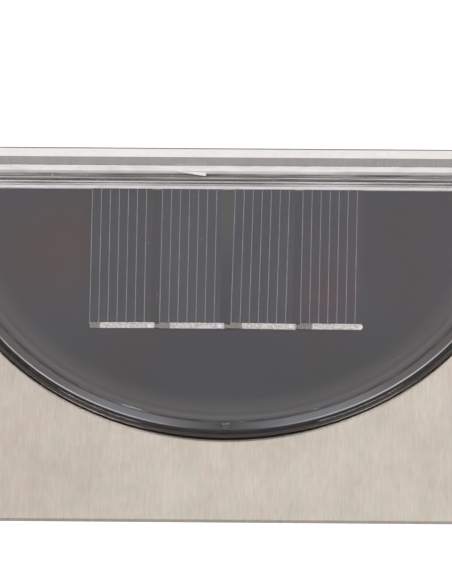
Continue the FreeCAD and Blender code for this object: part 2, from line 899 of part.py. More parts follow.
def panel_tray():
    """The black tray that holds the board up against the lens's plug."""
    body = new_body("TrayShell")
    back = dim("lens_back") - dim("tray_inset")
    under = -dim("steel")
    outline = new_sketch(body, "TrayOutline", "XY_Plane", TRAY_UNDER)
    moon(outline, dim("tray_inset"), back)
    pad(body, outline, under - TRAY_UNDER)
    add_ears(body, "Tray", under, under - TRAY_UNDER)
    well = new_sketch(body, "TrayWell", "XY_Plane", under)
    inset = dim("opening_inset") + dim("tray_step")
    moon(well, inset, dim("opening_back") - dim("tray_step"))
    pocket(body, well, under - FLOOR_TOP)
    bore_ears(body, "Tray", under, under - TRAY_UNDER)
    trim(body, "Tray", PLATE_FRONT - dim("door_clear"), None)
    lean(body)
    holes = []
    for number, x in enumerate(lead_places(), 1):
        low = dim("rib_top")
        length = LENS_Z - low
        name = f"TrayLeadHole{number}"
        holes.append(cylinder(name, dim("lead_size"), length, x, BATTERY_Y, low))
    keep(cut_away("PanelTray", body, holes), "panel_tray")


def lead_places():
    return (-dim("lead_spacing") / 2, dim("lead_spacing") / 2)


def hood_studs():
    """Weld studs under the hood, which pass through the ears of the tray and the housing."""
    end = FLANGE_UNDER - dim("nut_thick") - dim("stud_past")
    studs = []
    for number, (x, y) in enumerate(ear_places(), 1):
        body = new_body(f"Stud{number}")
        round_bar = new_sketch(body, f"StudRound{number}", "XY_Plane", end)
        draw_circle(round_bar, x, y, dim("stud_size") / 2)
        pad(body, round_bar, -dim("steel") - end)
        lean(body)
        studs.append(body)
    keep(group("HoodStuds", studs), "hood_studs")


NUT_SIDES = 6


def stud_nuts():
    """The nuts that clamp the housing and the tray to the hood."""
    nuts = []
    across = dim("nut_flats") / 2
    for number, (x, y) in enumerate(ear_places(), 1):
        body = new_body(f"Nut{number}")
        hexagon = new_sketch(body, f"NutHexagon{number}", "XY_Plane", FLANGE_UNDER)
        corners = []
        for step in range(NUT_SIDES):
            angle = size(360 / NUT_SIDES * step)
            reach = across / cosine(size(180 / NUT_SIDES))
            corners.append((x + reach * cosine(angle), y + reach * sine(angle)))
        draw_polygon(hexagon, corners)
        draw_circle(hexagon, x, y, dim("stud_size") / 2 + dim("joint_gap") / 2)
        pad(body, hexagon, dim("nut_thick"), down=True)
        lean(body)
        nuts.append(body)
    keep(group("StudNuts", nuts), "stud_nuts")


def half_moon_block(name, inset, top, rear, floor):
    """A half-moon prism square to the hood, cut off behind rear and below floor."""
    body = new_body(name)
    outline = new_sketch(body, name + "Outline", "XY_Plane", top)
    moon(outline, inset, dim("opening_back") - dim("tray_step"), dim("housing_corner"))
    pad(body, outline, dim("hood_reach"), down=True)
    trim(body, name, rear, floor)
    lean(body)
    return body


def round_floor(body, floor):
    """Rounds the edge between the housing's front wall and its floor."""
    fillet(
        body,
        dim("housing_round"),
        lambda edge, middle: not straight_along(edge, 0)
        and near(LENS_Z.value + (middle.y * sine(SLOPE).value + middle.z * cosine(SLOPE).value), floor),
    )


def bay_ends():
    """X of the battery bay's two end ribs."""
    rib = dim("rib_thick")
    return [(SPRING_END - rib, SPRING_END), (LEAF_END, LEAF_END + rib)]


def lamp_housing():
    """The black moulding that hangs under the tray: flange, half-moon wall, floor and ribs."""
    wall = dim("housing_wall")
    inset = dim("housing_inset")
    bottom = dim("housing_bottom")
    outer = half_moon_block("HousingOuter", inset, TRAY_UNDER, HOUSING_REAR, bottom)
    round_floor(outer, bottom)
    flange = new_body("HousingFlange")
    outline = new_sketch(flange, "FlangeOutline", "XY_Plane", FLANGE_UNDER)
    moon(outline, dim("tray_inset"), dim("opening_back"))
    pad(flange, outline, dim("housing_flange"))
    add_ears(flange, "Flange", TRAY_UNDER, dim("housing_flange"))
    bore_ears(flange, "Flange", TRAY_UNDER, dim("housing_flange"))
    trim(flange, "Flange", HOUSING_REAR, None)
    lean(flange)
    hollow_rear = HOUSING_REAR - wall
    above = TRAY_UNDER + wall
    hollow = half_moon_block("HousingHollow", inset + wall, above, hollow_rear, HOUSING_FLOOR)
    shell = cut_away("HousingShell", joined("HousingWalls", [outer, flange]), [hollow])
    bay_y = (BATTERY_Y - BAY_HALF, BATTERY_Y + BAY_HALF)
    rib_levels = (bottom + wall / 2, dim("rib_top"))
    ribs = []
    for number, ends in enumerate(bay_ends(), 1):
        ribs.append(block(f"HousingRib{number}", ends, bay_y, rib_levels))
    ribbed = joined("HousingRibbed", [shell] + ribs)
    under = bottom - wall
    over = HOUSING_FLOOR + wall
    door_levels = (under, HOUSING_FLOOR + dim("joint_gap"))
    door = block("HousingDoorHole", (SPRING_END, LEAF_END), bay_y, door_levels)
    lip = inset + wall + dim("door_lip")
    window_block = half_moon_block("HousingWindowMoon", lip, TRAY_UNDER, hollow_rear, under)
    front = -dim("hood_reach") * 2
    window_box = block(
        "HousingWindowBox",
        (-SIDE, SIDE),
        (front, DIFFUSER_BACK - dim("door_lip")),
        (under, over),
    )
    window = common("HousingWindow", window_block, window_box)
    reach = (dim("knob_length") + dim("knob_travel")) / 2 + dim("door_clear")
    half_slot = dim("knob_depth") / 2 + dim("door_clear")
    slot = block(
        "HousingSlot",
        (SWITCH_X - reach, SWITCH_X + reach),
        (BATTERY_Y - half_slot, BATTERY_Y + half_slot),
        (under, over),
    )
    keep(cut_away("LampHousing", ribbed, [door, window, slot]), "lamp_housing")


def diffuser():
    """The frosted window that lies on the housing's floor, in front of the battery bay."""
    inset = dim("housing_inset") + dim("housing_wall") + dim("diffuser_clear")
    moon_block = half_moon_block("DiffuserMoon", inset, TRAY_UNDER, HOUSING_REAR, HOUSING_FLOOR)
    front = -dim("hood_reach") * 2
    top = HOUSING_FLOOR + dim("diffuser_thick")
    slab = block("DiffuserSlab", (-SIDE, SIDE), (front, DIFFUSER_BACK), (HOUSING_FLOOR, top))
    keep(common("Diffuser", moon_block, slab), "diffuser")


LED_PLACES = [dim("led_pitch") * step for step in (-1, 0, 1)]
LED_BOARD_UNDER = dim("led_board_z") - dim("small_board")
CUP_MOUTH_Z = HOUSING_FLOOR + dim("diffuser_thick")


def reflector():
    """Three flared cups on one plate."""
    wall = dim("cup_wall")
    mouth = dim("cup_mouth") / 2
    throat = dim("cup_throat") / 2
    tall = LED_BOARD_UNDER - CUP_MOUTH_Z
    body = new_body("ReflectorPlate")
    plate = new_sketch(body, "ReflectorOutline", "XY_Plane", CUP_MOUTH_Z)
    reach = dim("led_pitch") + mouth + wall
    depth = mouth + wall
    draw_box(plate, -reach, reach, LED_Y - depth, LED_Y + depth)
    for x in LED_PLACES:
        draw_circle(plate, x, LED_Y, mouth)
    pad(body, plate, wall)
    cups = []
    for number, x in enumerate(LED_PLACES, 1):
        profile = [(mouth, 0), (mouth + wall, 0), (throat + wall, tall), (throat, tall)]
        cups.append(turned(f"Cup{number}", profile, x, LED_Y, CUP_MOUTH_Z))
    keep(joined("Reflector", [body] + cups), "reflector")


def led_board():
    half = dim("led_pitch") + dim("cup_mouth") / 2 + dim("cup_wall")
    depth = dim("led_board_depth") / 2
    levels = (LED_BOARD_UNDER, dim("led_board_z"))
    sides = (LED_Y - depth, LED_Y + depth)
    keep(block("LedBoard", (-half, half), sides, levels), "led_board")


def leds():
    """Three round lamps, domes down."""
    radius = dim("led_size") / 2
    tall = dim("led_height")
    collar = dim("led_collar") / 2
    foot = LED_BOARD_UNDER - tall
    dome = [(0, 0)]
    for step in (1, 2, 3):
        angle = size(90 / 3 * step)
        dome.append((radius * sine(angle), radius - radius * cosine(angle)))
    profile = dome + [
        (radius, tall - dim("cup_wall")),
        (collar, tall - dim("cup_wall")),
        (collar, tall),
        (0, tall),
    ]
    lamps = []
    for number, x in enumerate(LED_PLACES, 1):
        lamps.append(turned(f"Led{number}", profile, x, LED_Y, foot))
    keep(group("Leds", lamps), "leds")


def control_board():
    """The board that lies on the bay's end ribs and reaches forward over the light's board."""
    left, right = bay_ends()
    y = (LED_Y - dim("led_collar") / 2, BATTERY_Y + dim("control_depth") / 2)
    levels = (dim("rib_top"), dim("rib_top") + dim("small_board"))
    keep(block("ControlBoard", (left[0], right[1]), y, levels), "control_board")


def board_pins():
    """Two pins that carry the light's board under the control board."""
    length = dim("rib_top") - dim("led_board_z")
    pins = []
    for number, x in enumerate((-LED_PLACES[2] / 2, LED_PLACES[2] / 2), 1):
        name = f"BoardPin{number}"
        pins.append(cylinder(name, dim("pin_size") / 2, length, x, LED_Y, dim("led_board_z")))
    keep(group("BoardPins", pins), "board_pins")


def board_parts():
    """The driver chip, the choke and the capacitor on the control board."""
    top = dim("rib_top") + dim("small_board")
    x = dim("battery_x")
    y = BATTERY_Y
    half = dim("chip_size") / 2
    chip = x + dim("chip_place")
    levels = (top, top + dim("chip_thick"))
    pieces = [
        block("Chip", (chip - half, chip + half), (y - half, y + half), levels),
        cylinder("Choke", half, dim("choke_height"), x - dim("choke_place"), y, top),
        cylinder("Capacitor", half, dim("capacitor_height"), x + dim("capacitor_place"), y, top),
    ]
    keep(group("BoardParts", pieces), "board_parts")


def panel_leads():
    """The two leads from the solar panel down to the control board."""
    top = dim("rib_top") + dim("small_board")
    board_under = LENS_Z + (BATTERY_Y - LENS_Y) * sine(SLOPE) / cosine(SLOPE)
    length = board_under + FLOOR_TOP / cosine(SLOPE) - dim("lead_size") / 2 - top
    leads = []
    for number, x in enumerate(lead_places(), 1):
        name = f"Lead{number}"
        leads.append(cylinder(name, dim("lead_size") / 2, length, x, BATTERY_Y, top))
    keep(group("PanelLeads", leads), "panel_leads")


ALONG_X = FreeCAD.Vector(0, -1, 0)


def battery():
    """The rechargeable cell, its button towards +X."""
    radius = dim("battery_size") / 2
    length = dim("battery_length")
    button = dim("button_size") / 2
    edge = dim("slip_fit") * 2
    profile = [
        (0, 0),
        (radius - edge, 0),
        (radius, edge),
        (radius, length - edge),
        (radius - edge, length),
        (button, length),
        (button, length + dim("button_length")),
        (0, length + dim("button_length")),
    ]
    foot = dim("battery_x") - BATTERY_HALF
    keep(turned("Battery", profile, foot, BATTERY_Y, BATTERY_Z, ALONG_X), "battery")


def contact_leaf():
    """The plus contact: a leaf between the button and its rib, which runs up to the control board."""
    half = dim("spring_size") / 2
    thick = dim("leaf_thick")
    y = BATTERY_Y
    z = BATTERY_Z
    start = dim("battery_x") + BATTERY_HALF + dim("button_length")
    levels = (z - half, dim("rib_top"))
    leaf = block("Leaf", (LEAF_END - thick, LEAF_END), (y - half, y + half), levels)
    tall = LEAF_END - start - thick
    tip = dim("dimple_tip") / 2
    profile = [(0, 0), (tip, 0), (dim("dimple_foot") / 2, tall), (0, tall)]
    dimple = turned("LeafDimple", profile, start, y, z, ALONG_X)
    keep(joined("ContactLeaf", [leaf, dimple]), "contact_leaf")


def contact_plate():
    """The strip that the minus contact's coil stands on, up to the control board."""
    half = dim("spring_size") / 2
    x = (SPRING_END, SPRING_END + dim("leaf_thick"))
    y = (BATTERY_Y - half, BATTERY_Y + half)
    keep(block("ContactPlate", x, y, (BATTERY_Z - half, dim("rib_top"))), "contact_plate")


def contact_spring():
    """The minus contact: a conical coil from its strip to the battery's flat end."""
    wire = dim("wire")
    foot = SPRING_END + dim("leaf_thick") + wire / 2
    room = dim("contact_room") - dim("leaf_thick")
    coil = doc.addObject("Part::Helix", "SpringCoil")
    coil.SegmentLength = 0
    start = dim("spring_size") / 2 - wire / 2
    turns = dim("spring_turns")
    tall = room - wire
    taper = angle_of(dim("button_size") / 2 - start, tall)
    bind(coil, "Radius", start)
    bind(coil, "Height", tall)
    bind(coil, "Pitch", tall / turns)
    coil.Angle = taper.value
    bind(coil, "Angle", taper)
    wire_round = doc.addObject("Part::Circle", "SpringWire")
    bind(wire_round, "Radius", wire / 2)
    wire_round.Placement = FreeCAD.Placement(
        FreeCAD.Vector(start.value, 0, 0), FreeCAD.Rotation(FreeCAD.Vector(1, 0, 0), 90)
    )
    bind(wire_round, "Placement.Base.x", start)
    doc.recompute()
    sweep = doc.addObject("Part::Sweep", "ContactSpring")
    sweep.Sections = [wire_round]
    sweep.Spine = (coil, ["Edge1"])
    sweep.Solid = True
    sweep.Frenet = True
    sweep.Placement = FreeCAD.Placement(
        FreeCAD.Vector(foot.value, BATTERY_Y.value, BATTERY_Z.value),
        FreeCAD.Rotation(ALONG_X, -90),
    )
    bind(sweep, "Placement.Base.x", foot)
    bind(sweep, "Placement.Base.y", BATTERY_Y)
    bind(sweep, "Placement.Base.z", BATTERY_Z)
    keep(sweep, "contact_spring")


def battery_door():
    """The cover that drops out of the housing's floor, with two ribs that steady the battery."""
    clear = dim("door_clear")
    floor = HOUSING_FLOOR
    x = (SPRING_END + clear, LEAF_END - clear)
    half_bay = BAY_HALF - clear
    y = (BATTERY_Y - half_bay, BATTERY_Y + half_bay)
    plate = block("DoorPlate", x, y, (dim("housing_bottom"), floor))
    ribs = []
    for number, hand in enumerate((-1, 1), 1):
        middle = dim("battery_x") + BATTERY_HALF * dim("door_rib_place") * hand
        rib_x = (middle - dim("rib_thick") / 2, middle + dim("rib_thick") / 2)
        ribs.append(block(f"DoorRib{number}", rib_x, y, (floor, BATTERY_Z - clear)))
    radius = dim("battery_size") / 2 + clear
    bore = cylinder(
        "DoorBore",
        radius,
        dim("battery_length") * 2,
        dim("battery_x") - dim("battery_length"),
        BATTERY_Y,
        BATTERY_Z,
        ALONG_X,
    )
    solid = joined("DoorSolid", [plate] + ribs)
    notch_x = LEAF_END - clear - dim("rib_thick")
    notch = block(
        "DoorNotch",
        (notch_x - dim("rib_thick"), notch_x),
        (BATTERY_Y - half_bay / 2, BATTERY_Y + half_bay / 2),
        (dim("housing_bottom"), dim("housing_bottom") + dim("housing_wall") / 2),
    )
    keep(cut_away("BatteryDoor", solid, [bore, notch]), "battery_door")


def switch_body():
    half = dim("switch_length") / 2
    depth = dim("switch_depth") / 2
    x = (SWITCH_X - half, SWITCH_X + half)
    y = (BATTERY_Y - depth, BATTERY_Y + depth)
    levels = (HOUSING_FLOOR, HOUSING_FLOOR + dim("switch_height"))
    keep(block("SwitchBody", x, y, levels), "switch_body")


def switch_knob():
    """The sliding knob, at the off end of its slot."""
    half = dim("knob_length") / 2
    depth = dim("knob_depth") / 2
    middle = SWITCH_X - dim("knob_travel") / 2
    levels = (dim("housing_bottom") - dim("knob_out"), HOUSING_FLOOR - dim("joint_gap"))
    y = (BATTERY_Y - depth, BATTERY_Y + depth)
    bar = block("KnobBar", (middle - half, middle + half), y, levels)
    groove = dim("knob_groove")
    grooves = []
    for number, step in enumerate((-1, 0, 1), 1):
        place = middle + groove * 2 * step
        x = (place - groove / 2, place + groove / 2)
        grooves.append(block(f"KnobGroove{number}", x, y, (levels[0], levels[0] + groove)))
    keep(cut_away("SwitchKnob", bar, grooves), "switch_knob")


def check_document():
    """Stops if anything in the document failed, or if a node's shape is empty or broken."""
    for thing in doc.Objects:
        if "Invalid" in thing.State or "Error" in thing.State:
            raise RuntimeError(f"{thing.Name} is {thing.State}")
    for node in NODES:
        if node.Shape.isNull() or not node.Shape.isValid() or not node.Shape.Solids:
            raise RuntimeError(f"{node.Label} has no valid solid")


def main():
    wall_bracket()
    back_plate()
    hood()
    hood_rivets()
    lens_gasket()
    solar_lens()
    sealant_bead()
    panel_board()
    solar_cells()
    cell_ribbons()
    panel_tray()
    hood_studs()
    stud_nuts()
    lamp_housing()
    diffuser()
    reflector()
    led_board()
    leds()
    control_board()
    board_pins()
    board_parts()
    panel_leads()
    battery()
    contact_leaf()
    contact_plate()
    contact_spring()
    battery_door()
    switch_body()
    switch_knob()
    doc.recompute()
    check_document()
    os.makedirs("parts", exist_ok=True)
    for node in NODES:
        node.Shape.exportStep(f"parts/{node.Label}.step")
        box = node.Shape.optimalBoundingBox()
        print(
            f"{node.Label:16s} solids {len(node.Shape.Solids)}  volume {node.Shape.Volume:9.1f}  "
            f"X {box.XMin:7.2f} {box.XMax:7.2f}  Y {box.YMin:7.2f} {box.YMax:7.2f}  "
            f"Z {box.ZMin:7.2f} {box.ZMax:7.2f}"
        )


main()
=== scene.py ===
# %% [markdown]
# # Dressing a solar fence light
# The light is a folded stainless hood that slopes down from the fence. A half-moon window of clear acrylic
# lies on the hood, over four small solar cells, and the lamp hangs under it. The engineering model gives
# every solid at its real size. This lesson adds what a solid model lacks: finishes that look like the real
# materials, the printed lines on the cells, the bead of silicone and the small marks of hand assembly.

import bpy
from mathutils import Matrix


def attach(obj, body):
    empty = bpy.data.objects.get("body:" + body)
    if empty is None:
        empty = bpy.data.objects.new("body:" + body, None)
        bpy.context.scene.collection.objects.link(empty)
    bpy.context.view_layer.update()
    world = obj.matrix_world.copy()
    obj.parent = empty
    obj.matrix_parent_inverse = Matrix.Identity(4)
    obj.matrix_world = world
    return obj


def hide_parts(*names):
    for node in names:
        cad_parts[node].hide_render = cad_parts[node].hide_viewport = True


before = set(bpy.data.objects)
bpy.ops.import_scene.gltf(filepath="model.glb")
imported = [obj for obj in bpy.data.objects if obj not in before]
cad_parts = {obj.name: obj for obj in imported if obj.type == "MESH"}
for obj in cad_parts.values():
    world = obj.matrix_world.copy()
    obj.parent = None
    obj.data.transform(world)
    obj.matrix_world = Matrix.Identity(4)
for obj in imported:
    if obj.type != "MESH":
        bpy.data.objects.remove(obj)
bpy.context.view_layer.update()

# %% [markdown]
# Sizes are written in millimetres, as on a drawing, and turned into metres with one factor. The hood, the
# window and the cells are described in the slope's own frame: x along the fence, v up the slope and n
# square to the hood. Its origin is the centre of the window's arc, and n is 0 on the hood's steel.

# %% Units and the slope's frame
import math
import random

import bpy
from mathutils import Matrix, Vector

MM = 0.001
ARC_CENTRE = Vector((0, -8.02, 22.59)) * MM
SLOPE_ANGLE = math.radians(30)
SLOPE = Matrix.Translation(ARC_CENTRE) @ Matrix.Rotation(SLOPE_ANGLE, 4, "X")
CELL_TOP = -0.54  # n of the cells' upper face
RIBBON_TOP = -0.44
WINDOW_FACE = 1.11


def on_slope(x, v, n):
    """The place that x, v and n give, in mm, as a point of the light's own frame."""
    return SLOPE @ (Vector((x, v, n)) * MM)


def slope_shift(v, n):
    """A move up the slope and off it, in mm, as a vector of the light's own frame."""
    return on_slope(0, v, n) - ARC_CENTRE


print("the slope's frame starts at", tuple(round(c, 5) for c in ARC_CENTRE))

# %% [markdown]
# The camera stands two and a half metres in front of the light and looks down at 27 degrees through a very
# long lens, so parallel edges stay nearly parallel. Its place was solved from the window's arc and the
# hook's two edges. A long lens from afar is how catalogue pictures keep a small object free of distortion.

# %% Camera
CAMERA_PLACE = Vector((0.05269, -2.26043, 1.13831))
CAMERA_AIM = Vector((-0.000255, -0.030, 0.010303))
CAMERA_ROLL = math.radians(-0.2)
CAMERA_LENS = 767.86  # mm
CAMERA_SENSOR = 36

camera_data = bpy.data.cameras.new("camera")
camera_data.lens = CAMERA_LENS
camera_data.sensor_width = CAMERA_SENSOR
camera_data.clip_end = 100
camera = bpy.data.objects.new("camera", camera_data)
bpy.context.scene.collection.objects.link(camera)
look = (CAMERA_AIM - CAMERA_PLACE).to_track_quat("-Z", "Y").to_matrix().to_4x4()
camera.matrix_world = Matrix.Translation(CAMERA_PLACE) @ look @ Matrix.Rotation(CAMERA_ROLL, 4, "Z")
bpy.context.scene.camera = camera
print("camera distance:", round((CAMERA_AIM - CAMERA_PLACE).length, 3), "m")

# %% [markdown]
# Colours are picked on screen as sRGB hex values, but a renderer works with linear light. One function
# turns the one into the other. Another adds a shader node with its settings and its links in one line, so
# that a finish can be read from top to bottom.

# %% Colour and node helpers
def linear(colour):
    """An sRGB hex colour such as "C8BEB2" as linear red, green, blue and alpha."""
    shares = [int(colour[start:start + 2], 16) / 255 for start in (0, 2, 4)]
    return [s / 12.92 if s <= 0.04045 else ((s + 0.055) / 1.055) ** 2.4 for s in shares] + [1]


def add_node(tree, kind, inputs=None, **settings):
    """Adds a node. inputs gives its sockets a plain value or another node's socket."""
    made = tree.nodes.new(kind)
    for name, value in settings.items():
        setattr(made, name, value)
    for name, value in (inputs or {}).items():
        if isinstance(value, bpy.types.NodeSocket):
            tree.links.new(value, made.inputs[name])
        else:
            made.inputs[name].default_value = value
    return made


def new_finish(name, colour, **shine):
    """A material with one shader: its colour as sRGB hex and the shader's plain settings."""
    finish = bpy.data.materials.new(name)
    finish.use_nodes = True
    shader = finish.node_tree.nodes["Principled BSDF"]
    shader.inputs["Base Color"].default_value = linear(colour)
    for socket, value in shine.items():
        shader.inputs[socket.replace("_", " ")].default_value = value
    return finish, finish.node_tree, shader


def dress(finish, *names):
    """Gives the engineering model's pieces of those names a finish."""
    for name in names:
        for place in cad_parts[name].material_slots:
            place.material = finish
    print(finish.name, "on", ", ".join(names))


print("C8BEB2 is", [round(c, 3) for c in linear("C8BEB2")])

# %% [markdown]
# A pattern needs a place to live. Each piece keeps its place in its mesh, so Object coordinates are metres
# from the light's origin, and a pattern's scale is one over its real size. `spread` gives a cloudy pattern
# of a chosen size along each axis, `shades` turns it into colours and `relief` into small bumps. Where a
# surface changes from one side to the other, `along` and `distance_from` measure the place itself.

# %% Pattern helpers
def spread(tree, size_mm, detail=2.0, tilt=0.0, seed=0.0):
    """A noise pattern whose lumps have that size in mm along x, y and z, turned about x by tilt."""
    place = add_node(tree, "ShaderNodeTexCoord")
    turned = add_node(
        tree, "ShaderNodeMapping", {"Vector": place.outputs["Object"], "Rotation": (-tilt, 0, 0)}
    )
    scale = [1 / (side * MM) for side in size_mm]
    scaled = add_node(
        tree,
        "ShaderNodeMapping",
        {"Vector": turned.outputs["Vector"], "Scale": scale, "Location": (seed, seed, seed)},
    )
    noise = add_node(
        tree, "ShaderNodeTexNoise", {"Vector": scaled.outputs["Vector"], "Scale": 1.0, "Detail": detail}
    )
    return noise.outputs["Fac"]


def shades(tree, pattern, *stops):
    """Colours along a pattern: pairs of a place from 0 to 1 and an sRGB hex colour."""
    ramp = add_node(tree, "ShaderNodeValToRGB", {"Fac": pattern})
    for number, (place, colour) in enumerate(stops):
        if number < 2:
            stop = ramp.color_ramp.elements[number]
            stop.position = place
        else:
            stop = ramp.color_ramp.elements.new(place)
        stop.color = linear(colour)
    return ramp.outputs["Color"]


def levels(tree, pattern, low, high):
    """Plain numbers along a pattern, from low to high."""
    spanned = add_node(
        tree,
        "ShaderNodeMapRange",
        {"Value": pattern, "From Min": 0.3, "From Max": 0.7, "To Min": low, "To Max": high},
    )
    return spanned.outputs["Result"]


def along(tree, axis, start_mm, stop_mm):
    """A number that goes from 0 to 1 between two places on the X, Y or Z axis."""
    place = add_node(tree, "ShaderNodeTexCoord")
    axes = add_node(tree, "ShaderNodeSeparateXYZ", {0: place.outputs["Object"]})
    share = add_node(
        tree,
        "ShaderNodeMapRange",
        {"Value": axes.outputs[axis], "From Min": start_mm * MM, "From Max": stop_mm * MM},
    )
    return share.outputs["Result"]


def distance_from(tree, point):
    """How far the surface is from a point, in metres."""
    place = add_node(tree, "ShaderNodeTexCoord")
    far = add_node(
        tree, "ShaderNodeVectorMath", {0: place.outputs["Object"], 1: point}, operation="DISTANCE"
    )
    return far.outputs["Value"]


def blended(tree, share, first, second, way="MIX"):
    """Two colours mixed by a share, a number or a pattern."""
    mixed = add_node(
        tree, "ShaderNodeMix", {0: share, 6: first, 7: second}, data_type="RGBA", blend_type=way
    )
    return mixed.outputs[2]


def relief(tree, shader, pattern, height_mm, strength=1.0):
    """Small bumps of that height from a pattern."""
    bump = add_node(
        tree, "ShaderNodeBump", {"Height": pattern, "Distance": height_mm * MM, "Strength": strength}
    )
    tree.links.new(bump.outputs["Normal"], shader.inputs["Normal"])


print("pattern helpers ready")

# %% [markdown]
# ## Brushed stainless steel
# The hood is cut from sheet that was brushed with an abrasive belt. The belt leaves fine parallel
# scratches, here running down the slope. Most are finer than the picture shows, so the ones that it does
# show are drawn 0.22 mm wide and 3 mm long. Larger clouds lie where the belt pressed harder, and a few
# are faintly pink or green, as stainless steel is where a film of oil or oxide has dried on it. Towards
# its left side the hood's colour is a little darker.

# %% Stainless finishes
def brushed_steel(name, dark, pale, tints, roughness, tilt):
    finish, tree, shader = new_finish(name, pale, Metallic=1.0, Roughness=roughness)
    scratches = spread(tree, (0.22, 3.2, 0.22), detail=2, tilt=tilt)
    streaks = spread(tree, (0.7, 12, 0.7), detail=2, tilt=tilt, seed=5)
    clouds = spread(tree, (7, 10, 7), detail=3, tilt=tilt, seed=11)
    films = spread(tree, (4, 5, 4), detail=2, tilt=tilt, seed=23)
    fine = shades(tree, scratches, (0.3, dark), (0.7, pale))
    broad = shades(tree, streaks, (0.3, dark), (0.7, pale))
    cloudy = shades(tree, clouds, (0.3, dark), (0.7, pale))
    filmed = shades(tree, films, (0.36, tints[0]), (0.5, pale), (0.64, tints[1]))
    tone = blended(tree, 0.3, fine, broad)
    tone = blended(tree, 0.4, tone, cloudy)
    tree.links.new(blended(tree, 0.18, tone, filmed), shader.inputs["Base Color"])
    tree.links.new(levels(tree, scratches, roughness - 0.03, roughness + 0.05), shader.inputs["Roughness"])
    relief(tree, shader, scratches, 0.002, 0.4)
    return finish


hood_steel = brushed_steel(
    "brushed_stainless_hood", "CEC3B6", "EEE3D7", ("E8D0C4", "D6DBCF"), 0.2, SLOPE_ANGLE
)
plate_steel = brushed_steel(
    "brushed_stainless_plate", "E0DCD8", "F3F0EE", ("EEE4E2", "E6EAE6"), 0.18, math.radians(90)
)


def darken(finish, share, tint):
    """Multiplies a finish's colour by a tint, as far as the share goes."""
    tree = finish.node_tree
    colour = tree.nodes["Principled BSDF"].inputs["Base Color"]
    film = blended(tree, share, linear("FFFFFF"), linear(tint))
    tree.links.new(blended(tree, 1.0, colour.links[0].from_socket, film, "MULTIPLY"), colour)


darken(hood_steel, along(hood_steel.node_tree, "X", -10, -50), "F5F3F4")
dress(hood_steel, "hood")
dress(plate_steel, "back_plate")

# %% [markdown]
# Where the hook turns down at its back, a thin olive-grey line, 0.4 mm wide, is painted along the highest
# edge of the lamp: painted shade at the hook's bend. Lower down, the plate's colour is warmer and darker
# than at the hook.

# %% Painted shade line along the hook's bend
BEND_REAR = -1.14  # y
BEND_LOW = 27.3  # z
WARMING_TOP = 22  # z where the warmer polish starts, and where it is full
WARMING_FULL = 6

tree = plate_steel.node_tree
bright_tone = tree.nodes["Principled BSDF"].inputs["Base Color"]
rearward = along(tree, "Y", BEND_REAR - 0.06, BEND_REAR + 0.06)
high = along(tree, "Z", BEND_LOW - 0.1, BEND_LOW + 0.1)
# painted shade: along the bend's top the steel is painted a dark olive grey
bend_shade_mask = add_node(tree, "ShaderNodeMath", {0: rearward, 1: high}, operation="MULTIPLY")
shade_painted = blended(tree, bend_shade_mask.outputs["Value"], bright_tone.links[0].from_socket, linear("8F8C85"))
tree.links.new(shade_painted, bright_tone)
# the plate's colour turns warmer and darker lower down
darken(plate_steel, along(tree, "Z", WARMING_TOP, WARMING_FULL), "DCD4CB")
print("the hook's bend is dulled behind y =", BEND_REAR, "mm")

# %% [markdown]
# ## Small metal parts
# The bracket is zinc-plated strip: a blue-grey metal with faint crystal patches. The rivets are bare
# aluminium, the studs and nuts bright zinc, and the battery contacts nickel-plated spring steel. All
# shine like metal, and a fine grain makes the shine uneven.

# %% Plated metals
def plated_metal(name, colour, dark, pale, roughness, patch_mm):
    finish, tree, shader = new_finish(name, colour, Metallic=1.0, Roughness=roughness)
    patches = spread(tree, (patch_mm,) * 3, detail=2)
    grain = spread(tree, (0.25, 0.25, 0.25), detail=2, seed=3)
    tree.links.new(shades(tree, patches, (0.35, dark), (0.65, pale)), shader.inputs["Base Color"])
    tree.links.new(levels(tree, grain, roughness - 0.06, roughness + 0.1), shader.inputs["Roughness"])
    relief(tree, shader, grain, 0.004, 0.4)
    return finish


dress(plated_metal("zinc_plated_strip", "B9BCC0", "A9ADB2", "C6C9CC", 0.38, 5), "wall_bracket")
dress(plated_metal("bare_aluminium_rivet", "CFCFCD", "C2C2C0", "DADAD8", 0.32, 2), "hood_rivets")
dress(plated_metal("bright_zinc_plating", "C9CBCC", "B9BCBE", "D6D8D9", 0.28, 1.5), "hood_studs", "stud_nuts")
dress(
    plated_metal("nickel_plated_spring_steel", "CFCAC2", "BFB9B0", "DAD6CF", 0.25, 2),
    "contact_leaf", "contact_spring", "contact_plate", "board_pins",
)

# %% [markdown]
# ## Moulded black plastic
# The housing and the tray are injection-moulded black ABS. A spark-eroded mould gives such parts a fine
# even grain of about 0.3 mm, so they shine softly and never like a mirror. The switch's body, its ivory
# knob and the chips have the same kind of skin in other tones.

# %% Moulded plastics
def moulded_plastic(name, colour, pale, roughness, grain_mm, grain_height):
    finish, tree, shader = new_finish(name, colour, Roughness=roughness)
    grain = spread(tree, (grain_mm,) * 3, detail=2)
    wear = spread(tree, (9, 9, 9), detail=3, seed=7)
    tree.links.new(shades(tree, wear, (0.35, colour), (0.75, pale)), shader.inputs["Base Color"])
    tree.links.new(levels(tree, wear, roughness - 0.05, roughness + 0.08), shader.inputs["Roughness"])
    relief(tree, shader, grain, grain_height, 0.6)
    return finish


housing_plastic = moulded_plastic("spark_grained_black_abs", "191918", "222221", 0.42, 0.35, 0.02)
dress(housing_plastic, "lamp_housing", "battery_door", "panel_tray")
dress(moulded_plastic("black_phenolic_switch", "151515", "1E1E1E", 0.35, 0.3, 0.01), "switch_body")
dress(moulded_plastic("ivory_nylon_knob", "C9C7C0", "D3D1CB", 0.4, 0.3, 0.01), "switch_knob")
dress(moulded_plastic("moulded_chip_epoxy", "1A1A1C", "242427", 0.5, 0.2, 0.01), "board_parts")

